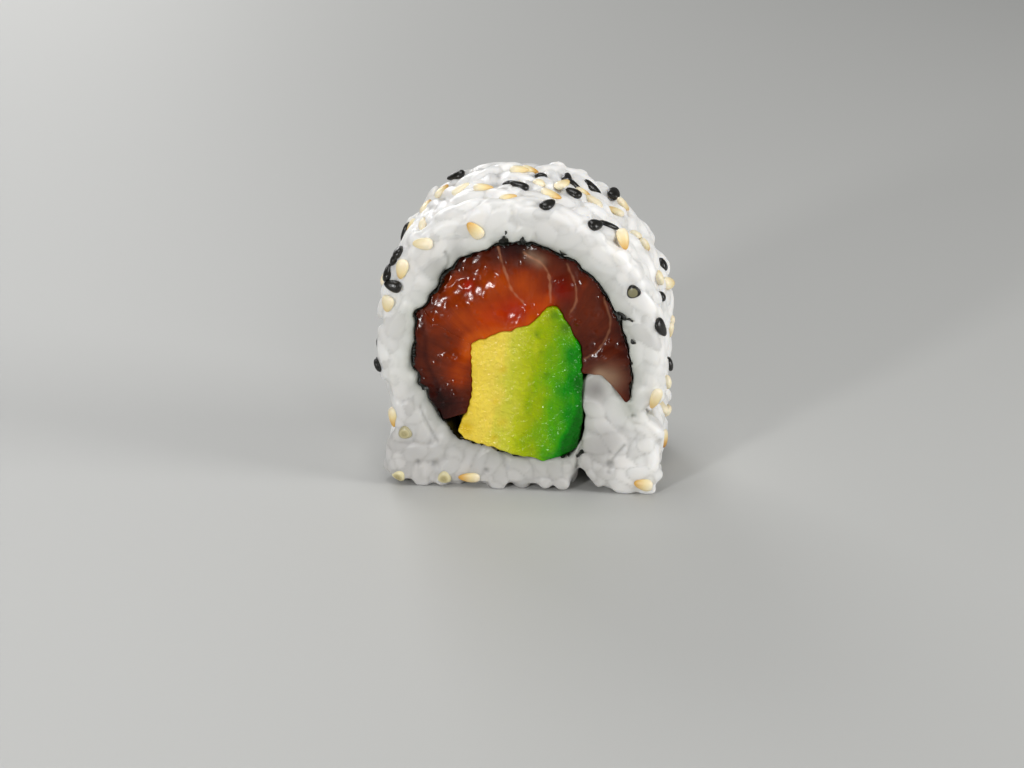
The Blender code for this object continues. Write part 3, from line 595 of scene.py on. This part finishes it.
DROPLETS = [
    (-10.6, 21.0, 1.1, 0.5), (-9.6, 29.6, 1.0, 0.42), (-3.3, 28.4, 0.7, 0.3), (0.9, 29.0, 0.6, 0.26),
    (-1.6, 30.1, 0.5, 0.2), (9.4, 33.5, 0.7, 0.3), (11.6, 25.8, 0.7, 0.3), (11.4, 23.8, 0.5, 0.22),
    (12.7, 21.8, 0.6, 0.26), (-13.3, 27.0, 0.9, 0.36),
]
BEAD_COUNT, BEAD_RISE = 120, 0.55
OVER_ROWS, LEFT_ROWS, STRIP_LANES, BODY_ROWS = 330, 130, 58, 18
bead_rng = np.random.default_rng(95)
bead_reach = bead_rng.uniform(0.22, 0.45, BEAD_COUNT)
bead_x, bead_z = bead_rng.uniform(-17, 17, BEAD_COUNT), bead_rng.uniform(13, 40, BEAD_COUNT)
beads = np.stack([bead_x, bead_z, bead_reach, BEAD_RISE * bead_reach], 1)
avocado_outline = rounded_outline(AVOCADO_CORNERS, 480)
ripple = 0.07 * soft_noise(avocado_outline, 81, 1.6) + 0.06 * soft_noise(avocado_outline, 82, 4.0)
avocado_outline += sideways(avocado_outline, closed=True) * ripple[:, None]


def radii_by_bearing(line, lowest=-360.0, highest=360.0):
    """Bearings in degrees from the spreading point to a line's points, in order, and how far away each is."""
    away = line - SPREAD_FROM
    turn = np.degrees(np.arctan2(away[:, 1], away[:, 0]))
    turn = np.where(turn < -90, turn + 360, turn)
    kept = (turn >= lowest) & (turn <= highest)
    order = np.argsort(turn[kept])
    return turn[kept][order], np.linalg.norm(away, axis=1)[kept][order]


inner_wall = uneven_wall + sideways(uneven_wall) * 0.15
wall_turn, wall_radius = radii_by_bearing(inner_wall)
avocado_turn, avocado_radius = radii_by_bearing(avocado_outline, 21.0)
tuck_turn, tuck_radius = radii_by_bearing(tuck[tuck[:, 1].argmax() + 2 :], -12.0, 16.0)
inner_turn = np.concatenate([tuck_turn, avocado_turn])
inner_radius = np.concatenate([tuck_radius, avocado_radius]) + 0.03


def strip_grid(first, last, count, lanes):
    """(x, z) from avocado to nori: rows of bearings from first to last, with lanes closer at the margins."""
    s = np.linspace(0, 1, count)[:, None]
    t = np.linspace(0, 1, lanes)[None]
    t = 0.55 * t + 0.45 * (0.5 - 0.5 * np.cos(np.pi * t))
    bearing = first(t) * (1 - s) + last(t) * s
    inner, outer = np.interp(bearing, inner_turn, inner_radius), np.interp(bearing, wall_turn, wall_radius)
    radius = inner + (outer - inner) * t
    turn = np.radians(bearing)
    return SPREAD_FROM + np.stack([np.cos(turn), np.sin(turn)], 2) * radius[..., None]


def through_body(flat, front, back, sway, seed, values):
    """A closed body through the slice: front and back faces on one grid of (x, z), and swaying walls between.

    Returns its points, faces and point values, which a wall takes over from the rim that it starts at.
    """
    count, lanes = flat.shape[:2]
    number = np.arange(count * lanes).reshape(count, lanes)
    rim = np.concatenate([number[0, :-1], number[:-1, -1], number[-1, :0:-1], number[:0:-1, 0]])
    xz = flat.reshape(-1, 2)
    both_faces = [at_depth(xz, depth.ravel()) for depth in (-front, back)]
    share = np.linspace(0, 1, BODY_ROWS + 1)[1:-1, None, None]
    walls = both_faces[0][rim] * (1 - share) + both_faces[1][rim] * share
    sway = sway * np.sin(np.pi * share[..., 0])
    walls[..., 0] += sway * soft_noise(walls, seed, 5.0)
    walls[..., 2] += sway * soft_noise(walls, seed + 1, 5.0)
    points = np.vstack([*both_faces, walls.reshape(-1, 3)])
    first_wall = 2 * count * lanes + np.arange((BODY_ROWS - 1) * len(rim)).reshape(-1, len(rim))
    levels = np.vstack([rim[None], first_wall, rim[None] + count * lanes])
    beside = np.roll(levels, -1, axis=1)
    band = np.stack([beside[:-1], levels[:-1], levels[1:], beside[1:]], 2).reshape(-1, 4)
    quads = grid_faces(count, lanes)
    faces = np.vstack([quads, quads[:, ::-1] + count * lanes, band])
    spread = {}
    for label, numbers in values.items():
        on_face = numbers.ravel()
        spread[label] = np.concatenate([on_face, on_face, np.tile(on_face[rim], BODY_ROWS - 1)])
    return points, facing_out(points, faces), spread


def round_rim(edge, radius):
    """How far a rounded rim falls below the face, at a distance from the edge: a quarter circle."""
    return radius - np.sqrt(np.maximum(radius**2 - np.maximum(radius - edge, 0) ** 2, 0))


def fish_face(flat, edge, wall_gap, seed):
    """Height of the fish's cut face: swollen flakes, creased where fat parts them, and beads of moisture.

    At the upper left the flesh is turned back: past a line there, the face falls away at an even slope.
    """
    swell = 0.16 * soft_noise(flat, seed, 8.0) + closeness(flat, [*DROPLETS, *beads])
    creases = sum(0.14 * bell(near_line(flat, line), 0.45) for line in FAT_LINES)
    wet = np.clip(closeness(flat, WET), 0, 1)
    relief = (0.012 + 0.03 * wet) * soft_noise(flat, seed + 2, 2.0) + 0.006 * soft_noise(flat, seed + 3, 0.9)
    past_fold = (flat - FOLD_FROM) @ FOLD_WAY
    turned_back = FOLD_SLOPE * (np.hypot(past_fold, 1.3) + past_fold) / 2
    turned_back /= 1 + np.exp((flat[..., 0] - FOLD_END) / 0.7)
    return 0.35 + swell - creases + relief - turned_back - round_rim(wall_gap, 0.4) - round_rim(edge, 0.2)


def fish_values(flat, wall_gap):
    """Point values that colour the flesh: how bright, with painted light and shade in it, how red, and how
    near a line of fat or a pale film.

    Its fibres fan out from the avocado, so a noise stretched along the way out streaks the brightness.
    """
    away = flat - SPREAD_FROM
    reach = np.linalg.norm(away, axis=2)
    fan = np.stack([np.arctan2(away[..., 1], away[..., 0]) * 16, reach * 0.14], 2)
    fibres = 0.015 * soft_noise(fan, 93, 1.4) + 0.008 * soft_noise(fan, 94, 0.6)
    # Painted shade in that seam
    seam = 0.13 * bell(near_line(flat, DARK_SEAM), 0.45)
    # Painted light: the flesh is brighter along the avocado's edge
    lit_edge = 0.28 * bell(near_line(flat, LIT_EDGE), 1.1)
    # Painted shade darkens the flesh towards the nori, where thin flesh also lies over the dark sheet
    glow = 0.4 + closeness(flat, GLOW) + lit_edge + fibres - seam - 0.24 * np.exp(-wall_gap / 0.9)
    wobble = 0.05 * soft_noise(flat, 92, 1.4)
    lines_of_fat = zip(FAT_LINES, FAT_STRENGTH)
    fat = sum(strength * bell(near_line(flat, line) + wobble, 0.15) for line, strength in lines_of_fat)
    return {"glow": glow, "red": closeness(flat, RED), "fat": fat, "film": closeness(flat, FILM)}


def make_strip(name, first, last, rows, free_end):
    """One salmon strip: its grid, the relief of both cut faces, walls and colour values.

    Its rim is rounded along both sides and at its free end, but not where it lies against the other strip.
    """
    flat = strip_grid(first, last, rows, STRIP_LANES)
    to_free_end = flat if free_end else flat[::-1]
    free_rim = np.vstack([to_free_end[:, 0], to_free_end[-1], to_free_end[::-1, -1]])
    edge, wall_gap = gap_to(flat, free_rim), gap_to(flat, inner_wall)
    front, back = (HALF_SLICE - 0.3 + fish_face(flat, edge, wall_gap, seed) for seed in (101, 121))
    points, faces, values = through_body(flat, front, back, 0.12, 141, fish_values(flat, wall_gap))
    make_piece(name + "_strip", points, faces, raw_salmon, name, values)


# Raw salmon muscle is wet and half clear: red-brown where it is thick, orange where light comes through it
raw_salmon, add, shader, place = new_surface("raw_salmon_fillet")
MOTTLE_DEPTH = 0.14
mottle = add("TexNoise", Vector=place, Scale=1 / (1.6 * MM), Detail=4.0)["Fac"]
below = add("Math", {"operation": "SUBTRACT"}, _0="glow", _1=MOTTLE_DEPTH / 2)[0]
mottled = add("Math", {"operation": "MULTIPLY_ADD"}, _0=mottle, _1=MOTTLE_DEPTH, _2=below)[0]
flesh_stops = [
    (0.0, "#1c0200"), (0.2, "#3c0f05"), (0.4, "#5c210c"), (0.58, "#842c04"), (0.78, "#b04404"),
    (1.0, "#cc5a06"),
]
flesh = add("ValToRGB", stops=flesh_stops, _0=mottled)[0]
for label, code in (("red", "#b01800"), ("film", "#a68a70"), ("fat", "#bd8260")):
    flesh = add("Mix", RGBA, _0=label, _6=flesh, _7=code)[2]
grit = add("TexNoise", Vector=place, Scale=1 / (0.5 * MM), Detail=3.0)["Fac"]
finish_surface(
    shader, flesh, grit, 0.02, Roughness=0.17, IOR=1.36, Specular_IOR_Level=0.34, Subsurface_Weight=0.12,
    Subsurface_Radius=(1.0, 0.3, 0.12), Subsurface_Scale=1.2 * MM,
)


def joint_bearing(t):
    """Bearing of the joint between the strips, a little bowed, at a share of the way from avocado to nori."""
    return JOINT_BEARING + 3.4 * np.sin(np.pi * t) * t + 2.2 * t


def at_bearing(bearing):
    """An end of a strip at the same bearing all the way out."""
    return lambda t: bearing + 0 * t


make_strip("salmon_over", joint_bearing, at_bearing(TAIL_BEARING), OVER_ROWS, True)
make_strip("salmon_left", at_bearing(LEFT_FOOT_BEARING), lambda t: joint_bearing(t) + 0.02, LEFT_ROWS, False)

# The avocado: a stick cut from a ripe, peeled half, yellow next to the stone and deep green under the skin.
# Its cut face swells a little, and falls away on the right where the outside of the fruit begins.
AVOCADO_FACE_CORNERS = [(-9.5, 9.6), (8.9, 6.6), (5.0, 30.9), (-7.4, 23.7)]
RIDGE = [
    (7.2, 29.5), (7.4, 28.2), (8.3, 24.0), (8.8, 20.0), (8.9, 15.1), (7.2, 11.0), (5.6, 8.5), (3.5, 5.5),
]
SCOOP = [(-9.4, 10.6), (-7.8, 10.2), (-6.6, 10.6), (-5.4, 11.9), (-4.0, 12.8)]
YELLOW_SPOTS = [
    (-2.6, 19.8, 0.6, 0.5), (-3.8, 14.6, 0.6, 0.5), (-8.2, 10.0, 0.9), (-2.8, 11.2, 0.7, 0.4),
    (-4.0, 8.6, 0.6, 0.5),
]
GREEN_SPOTS = [
    (2.6, 25.6, 0.6, 0.4), (4.0, 19.0, 0.6, 0.5), (7.0, 26.8, 1.0, 0.9), (3.2, 22.8, 0.5, 0.3),
    (5.2, 28.8, 0.9, 0.7),
]
starts = [np.linalg.norm(avocado_outline - corner, axis=1).argmin() for corner in AVOCADO_FACE_CORNERS]
loop = np.vstack([avocado_outline, avocado_outline])


def side_between(start, end, count):
    """The avocado's outline from one corner on to the next, evenly spaced."""
    return evenly(loop[start : end + 1 if end > start else end + 1 + len(avocado_outline)], count)


def patch(low_side, right_side, top_side, left_side):
    """A grid of (x, z) between four sides: both blends of opposite sides, less the blend of the corners."""
    u = np.linspace(0, 1, len(low_side))[None, :, None]
    v = np.linspace(0, 1, len(left_side))[:, None, None]
    low_corners = low_side[0] * (1 - u) + low_side[-1] * u
    corners = low_corners * (1 - v) + (top_side[0] * (1 - u) + top_side[-1] * u) * v
    upward = low_side[None] * (1 - v) + top_side[None] * v
    return upward + left_side[:, None] * (1 - u) + right_side[:, None] * u - corners


lanes, lines = 84, 108
avocado_flat = patch(
    side_between(starts[0], starts[1], lanes), side_between(starts[1], starts[2], lines),
    side_between(starts[2], starts[3], lanes)[::-1], side_between(starts[3], starts[0], lines)[::-1],
)
edge = gap_to(avocado_flat, avocado_outline, closed=True)
ridge_line = curve_through(RIDGE, 80)
avocado_x, avocado_z = avocado_flat[..., 0], avocado_flat[..., 1]
ridge_gap = avocado_x - np.interp(avocado_z, ridge_line[::-1, 1], ridge_line[::-1, 0])
past_ridge = np.clip(ridge_gap, 0, 4)
scoop_gap = near_line(avocado_flat, SCOOP)


def avocado_face(seed):
    """Height of the avocado's cut face: a slight swell, a fall past the ridge, and a spoon's mark."""
    swell = 0.12 * soft_noise(avocado_flat, seed, 7.0) + 0.035 * soft_noise(avocado_flat, seed + 1, 1.6)
    relief = 0.42 + swell + 0.12 * bell(ridge_gap, 0.8) - 0.16 * bell(scoop_gap, 0.45)
    return HALF_SLICE + relief - (past_ridge / 2.6) ** 1.4 - round_rim(edge, 0.28)


foot_spread = np.clip((13 - avocado_z) / 4, 0, 1)
greenness = (avocado_x + 7.6 + 1.8 * foot_spread) / (17.0 + 1.3 * foot_spread)
greenness += 0.08 * np.sin(np.pi * np.clip(greenness, 0, 1)) - 0.012 * np.clip(avocado_z - 18, 0, 12)
greenness += 0.05 * np.clip(past_ridge, 0, 2) + 0.02 * soft_noise(avocado_flat, 270, 4.0)
by_the_stone = 0.5 * np.exp(-edge / 0.5) * (avocado_x < -3)
avocado_points, avocado_faces, avocado_values = through_body(
    avocado_flat, avocado_face(201), avocado_face(231), 0.1, 260, {
        "green": greenness,
        "ripe": np.clip(closeness(avocado_flat, YELLOW_SPOTS) + by_the_stone, 0, 1),
        "bruise": closeness(avocado_flat, GREEN_SPOTS),
    })

# Ripe avocado flesh is buttery and slightly oily: a fine soft grain, faint upright fibres, small highlights
ripe_avocado, add, shader, place = new_surface("ripe_avocado_flesh")
upright = add("Mapping", Vector=place, Scale=(1 / (0.8 * MM), 1 / (3 * MM), 1 / (7 * MM)))[0]
fibres = add("TexNoise", Vector=upright, Scale=1.0, Detail=3.0)["Fac"]
shift = add("Math", {"operation": "MULTIPLY_ADD"}, _0=fibres, _1=0.1, _2=-0.05)[0]
shifted = add("Math", {"operation": "ADD"}, _0=shift, _1="green")[0]
flesh_stops = [
    (0.0, "#f0d24c"), (0.26, "#ecd450"), (0.42, "#cdca3c"), (0.52, "#bac01c"), (0.64, "#9aae00"),
    (0.8, "#5ca400"), (0.92, "#128a04"), (1.0, "#046402"),
]
flesh = add("ValToRGB", stops=flesh_stops, _0=shifted)[0]
for label, code in (("ripe", "#dcb81c"), ("bruise", "#4c7a08")):
    flesh = add("Mix", RGBA, _0=label, _6=flesh, _7=code)[2]
grain = add("TexNoise", Vector=place, Scale=1 / (0.7 * MM), Detail=2.0)["Fac"]
finish_surface(
    shader, flesh, grain, 0.42, Roughness=0.16, IOR=1.37, Specular_IOR_Level=0.35, Subsurface_Weight=0.15,
    Subsurface_Radius=(1.0, 0.9, 0.3), Subsurface_Scale=0.8 * MM,
)
make_piece("avocado_stick", avocado_points, avocado_faces, ripe_avocado, "avocado", avocado_values)

# The sesame seeds: toasted light ones and black ones, sprinkled on the rice before the roll was turned over.
# They are drops 3.4 mm long, pressed a little into the grains. The knife went through four of them.
SEED = np.array([3.4, 2.0, 1.2])
SEED_LIFT = 0.2
ROUND_SEEDS = [
    (134, 6.0, 85), (107, 8.3, 5), (128, 17.2, 60), (118, 12.5, 20), (137, 16.9, 70), (95, 16.5, 5),
    (91, 17.5, 30), (79, 6.5, 5), (76, 12.8, 60), (85, 11.4, 90), (67, 14.4, 40), (61, 12.8, 160),
    (51, 14.9, 150), (48, 18.6, 30), (38, 13.0, 60), (33, 12.5, 45), (19, 10.8, 100), (10, 18.0, 70),
    (-10, 16.8, 30), (-9, 20.5, 80), (-20, 5.0, 60), (-34, 11.9, 130), (-37, 14.5, 80), (-44, 14.0, 20),
    (123, 21.6, 165), (97, 11.7, 60), (93, 8.3, 170), (85, 16.2, 80), (79, 1.4, 60), (75, 17.6, 95),
    (71, 14.7, 10), (71, 10.2, 160), (63, 18.9, 20), (54, 21.1, 90), (53, 4.6, 10), (58, 1.4, 60),
    (13, 8.5, 80), (16, 20.5, 60), (5, 1.5, 30), (-19, 12.7, 90), (146, 1.2, 80), (150, 1.6, 120),
    (155, 1.2, 45), (194, 1.0, 90),
]
LIGHT_ROUND = 24
LIGHT_ON_FACE = [
    (-6.8, 41.7, -47), (-14.7, 39.3, 0), (15.2, 39.9, 95), (-17.9, 35.2, 80), (-20.2, 29.5, 70),
    (-19.6, 10.9, 90), (-7.9, 1.6, 0), (19.0, 1.8, -10), (20.6, 15.8, 75),
]
DARK_ON_FACE = [(-19.3, 32.5, -15)]
CUT_SEED = [2.1, 2.0, 0.9]
CUT_SEEDS = [(17.0, 32.7, 50, 1.0), (-17.8, 8.7, 37, 0.3), (-18.9, 1.5, 0, 0.0), (-11.8, 1.5, 30, 0.1)]
MORE_SEEDS, MORE_FROM, MORE_TO = 30, 96, 214
MORE_STEPS = (0.618, 0.4656)


def on_outside(spots):
    """Place, way out and way along of seeds, from angle round the arch, distance behind the cut, and turn."""
    angle, back, turn = np.radians(spots[:, 0]), spots[:, 1], np.radians(spots[:, 2])
    ray = unit(arch - np.array([0, TOP - ARCH_RADIUS]))
    index = (np.cos(angle)[:, None] * ray[:, 0] + np.sin(angle)[:, None] * ray[:, 1]).argmax(1)
    inward = sideways(arch, closed=True)[index]
    out = at_depth(-inward, 0.0)
    tangent = np.stack([-out[:, 2], 0 * angle, out[:, 0]], 1)
    along = tangent * np.cos(turn)[:, None] + np.cross(out, tangent) * np.sin(turn)[:, None]
    reach = np.hypot(along[:, 1] * SEED[0] / 2, (1 - np.abs(along[:, 1])) * SEED[1] / 2)
    y = np.clip(back - HALF_SLICE, reach - HALF_SLICE, HALF_SLICE - reach)
    return at_depth(arch[index], y), out, along


def on_face(spots):
    """Place, way out and way along for seeds given by x, z and turn on the front cut."""
    spots = np.array(spots, float)
    turn = np.radians(spots[:, 2])
    along = at_depth(np.stack([np.cos(turn), np.sin(turn)], 1), 0.0)
    return at_depth(spots, -HALF_SLICE), np.tile([0.0, -1.0, 0.0], (len(spots), 1)), along


def settled(place, out, along, sizes, lift):
    """Seeds laid on the pressed rice: each on the plane that best fits the rice within its reach."""
    place, out = place.copy(), out.copy()
    for index in range(len(place)):
        away = rice_points - place[index]
        height = away @ out[index]
        side = np.cross(out[index], along[index])
        u, v = away @ along[index], away @ side
        under_seed = (np.abs(u) < sizes[index, 0] * 0.4) & (np.abs(v) < sizes[index, 1] * 0.55)
        near = under_seed & (np.abs(height) < 1.6)
        if near.sum() < 12:
            continue
        terms = np.stack([np.ones(near.sum()), u[near], v[near]], 1)
        lean = np.linalg.lstsq(terms, height[near], rcond=None)[0]
        place[index] += out[index] * (lean[0] + lift * sizes[index, 2])
        slope = np.clip(lean[1:], -0.5, 0.5)
        out[index] = unit(out[index] - (along[index] * slope[0] + side * slope[1]))
    return place, axes_from(out, along)


def sesame_seed(x):
    """A seed's girth and bend along it: a drop, pointed at its near end and blunt at the far one."""
    return np.sin(np.arccos(-x)) ** 0.85 * (1 + 0.36 * x) * (1 + 0.1 * np.maximum(-x, 0)), 0 * x


def make_seeds(name, laid, sizes, lift, material, tones):
    """Seeds as one mesh, with each point's place along its seed and off its middle, and the seed's tone."""
    place, axes = settled(*laid, sizes, lift)
    points, faces, local = lumps(place, axes, sizes, sesame_seed, sides=14, rings=9)
    points[:, 2] = np.maximum(points[:, 2], 0.02)
    count = len(place)
    values = {
        "tip": np.tile(local[:, 0], count) * 0.5 + 0.5,
        "rim": np.tile(np.hypot(local[:, 0], local[:, 1]), count),
        "tone": np.repeat(tones, len(local)),
    }
    make_piece(name, points, faces, material, "rice", values)


more = []
for index in range(MORE_SEEDS):
    share, depth = (index * step % 1 for step in MORE_STEPS)
    angle, back = MORE_FROM + (MORE_TO - MORE_FROM) * share, SEED[0] + 2 * (HALF_SLICE - SEED[0]) * depth
    taken = ROUND_SEEDS + more
    gaps = [math.hypot(math.radians(angle - a) * ARCH_RADIUS, back - b) for a, b, _ in taken]
    if min(gaps) > SEED[0]:
        more.append((angle, back, index * 47))
groups = {
    "light": (ROUND_SEEDS[:LIGHT_ROUND] + more[::2], LIGHT_ON_FACE),
    "dark": (ROUND_SEEDS[LIGHT_ROUND:] + more[1::2], DARK_ON_FACE),
}

# A hulled sesame seed is ivory, toasted amber towards its point; its skin is matt with a faint oily gloss
hulled_sesame, add, shader, place = new_surface("toasted_hulled_sesame")
from_tip = add("Math", {"operation": "SUBTRACT"}, _0=1.0, _1="tip")[0]
toast = add("Math", {"operation": "MULTIPLY"}, _0="tone", _1=from_tip)[0]
toast_stops = [(0.0, "#f4e9cd"), (0.3, "#edd9a4"), (0.6, "#dcab54"), (1.0, "#b06a1a")]
ivory = add("ValToRGB", stops=toast_stops, _0=toast)[0]
skin = add("TexNoise", Vector=place, Scale=1 / (0.35 * MM), Detail=3.0)["Fac"]
finish_surface(
    shader, ivory, skin, 0.04, Roughness=0.38, IOR=1.47, Subsurface_Weight=0.15,
    Subsurface_Radius=(1.0, 0.7, 0.35), Subsurface_Scale=0.5 * MM,
)

# An unhulled black sesame seed has a rough black seed coat, brownish where it is thin, with a soft gloss
black_sesame, add, shader, place = new_surface("unhulled_black_sesame")
coat = add("TexNoise", Vector=place, Scale=1 / (0.5 * MM), Detail=4.0)["Fac"]
coat_stops = [(0.3, "#0f0e0c"), (0.6, "#1f1d19"), (0.8, "#37302a")]
coat_colour = add("ValToRGB", stops=coat_stops, _0=coat)[0]
finish_surface(shader, coat_colour, coat, 0.06, Roughness=0.3, IOR=1.47)

for kind, (round_spots, face_spots) in groups.items():
    laid = [np.vstack(part) for part in zip(on_outside(np.array(round_spots, float)), on_face(face_spots))]
    sizes = SEED * rng.normal(0.95, 0.07, (len(laid[0]), 3)).clip(0.82, 1.08)
    tones = rng.beta(1.6, 1.7, len(sizes))
    surface = hulled_sesame if kind == "light" else black_sesame
    make_seeds("sesame_" + kind, laid, sizes, SEED_LIFT, surface, tones)

# A seed that the knife went through shows a pale green-grey kernel, ringed by its coat
cut_kernel, add, shader, place = new_surface("cut_sesame_kernel")
kernel_stops = [(0.0, "#d8cc9c"), (0.3, "#aea274"), (0.6, "#cec192"), (0.78, "#e2d8ac")]
kernel = add("ValToRGB", stops=kernel_stops, _0="rim")[0]
toned_kernel = add("Mix", RGBA, _0="tone", _6=kernel, _7="#858060")[2]
ring = add("MapRange", _0="rim", _1=0.66, _2=0.8, _3=0.0, _4=1.0)[0]
ring_share = add("Math", {"operation": "MULTIPLY"}, _0=ring, _1="tone")[0]
ringed = add("Mix", RGBA, _0=ring_share, _6=toned_kernel, _7="#171611")[2]
pith = add("TexNoise", Vector=place, Scale=1 / (0.4 * MM), Detail=2.0)["Fac"]
finish_surface(shader, ringed, pith, 0.05, Roughness=0.35, IOR=1.47)
cut_sizes = np.tile(CUT_SEED, (len(CUT_SEEDS), 1))
cut_tones = np.array([spot[3] for spot in CUT_SEEDS])
make_seeds("sesame_cut", on_face([spot[:3] for spot in CUT_SEEDS]), cut_sizes, 0.05, cut_kernel, cut_tones)

# Scraps of nori: crumbs that the knife tore from the sheet's edge and dragged into the rice beside it
NORI_SCRAPS = [
    (-2.5, 40.3, -88, 1.6, 1.2), (0.35, 40.3, -95, 1.5, 1.1), (-2.1, 41.5, 60, 0.5, 0.4),
    (15.2, 28.8, 165, 2.0, 1.1), (16.5, 28.4, -12, 1.6, 0.35), (17.2, 25.0, 120, 0.7, 0.4),
    (9.3, 6.3, 40, 1.6, 0.7), (6.5, 38.4, -15, 0.8, 0.3), (16.9, 21.4, 60, 0.6, 0.3),
]
SCRAP_THICKNESS, SCRAP_FIT, SCRAP_LIFT = 0.35, 0.8, 0.3
scrap_sizes = np.array([(length, width, SCRAP_THICKNESS) for *_, length, width in NORI_SCRAPS])
scrap_spots = on_face([spot[:3] for spot in NORI_SCRAPS])
scrap_place, scrap_axes = settled(*scrap_spots, scrap_sizes + SCRAP_FIT, SCRAP_LIFT)
scrap_points, scrap_faces, _ = lumps(scrap_place, scrap_axes, scrap_sizes, sesame_seed, sides=12, rings=8)
scrap_points += 0.12 * np.stack([soft_noise(scrap_points, 300 + axis, 0.9) for axis in range(3)], 1)
make_piece("nori_scraps", scrap_points, scrap_faces, toasted_laver, "nori", {})

# Floor, lights and camera: a pale table in a light tent, with small lamps in front and wide ones above, on
# the right and behind
table = bpy.data.meshes.new("table")
table.from_pydata([(-3, -3, 0), (3, -3, 0), (3, 3, 0), (-3, 3, 0)], [], [(0, 1, 2, 3)])
table_top = bpy.data.objects.new("table", table)
bpy.context.scene.collection.objects.link(table_top)
painted_board, _, shader, _ = new_surface("painted_board")
shader.inputs["Base Color"].default_value = linear("#b8b8b5")
shader.inputs["Roughness"].default_value = 0.6
table.materials.append(painted_board)

LAMPS = [
    ("lamp_front_left", (-0.242, -0.458, 0.155), 0.06, 1.35),
    ("lamp_above", (-0.05, 0.0, 0.50), 0.22, 1.0),
    ("lamp_front_right", (0.22, -0.50, 0.32), 0.10, 0.35),
    ("lamp_right", (0.50, -0.10, 0.20), 0.20, 1.75),
    ("lamp_behind", (-0.25, 0.45, 0.22), 0.25, 1.0),
]
for name, spot, size, watts in LAMPS:
    light = bpy.data.lights.new(name, "AREA")
    light.size, light.energy = size, watts
    lamp = bpy.data.objects.new(name, light)
    lamp.location = spot
    lamp.rotation_euler = (Vector((0, 0, 0.025)) - Vector(spot)).to_track_quat("-Z", "Y").to_euler()
    bpy.context.scene.collection.objects.link(lamp)

world = bpy.data.worlds.new("tent")
world.use_nodes = True
world.node_tree.nodes["Background"].inputs[0].default_value = linear("#e9ebee")
world.node_tree.nodes["Background"].inputs[1].default_value = 0.15
bpy.context.scene.world = world
bpy.context.scene.view_settings.view_transform = "Standard"

CAMERA_FROM = np.array([46.35, -464.80, 184.85])
CAMERA_TURN, CAMERA_HEIGHT = 6.0, 20.2
LENS_IN_PIXELS, PHOTO_WIDTH = 3191, 1024
camera = bpy.data.objects.new("camera", bpy.data.cameras.new("camera"))
camera.data.sensor_width = 36
camera.data.lens = LENS_IN_PIXELS / PHOTO_WIDTH * camera.data.sensor_width
camera.location = (CAMERA_FROM + DRAWING_ZERO) * MM
camera.rotation_euler = (math.radians(90 - CAMERA_HEIGHT), 0, math.radians(CAMERA_TURN))
bpy.context.scene.collection.objects.link(camera)
bpy.context.scene.camera = camera
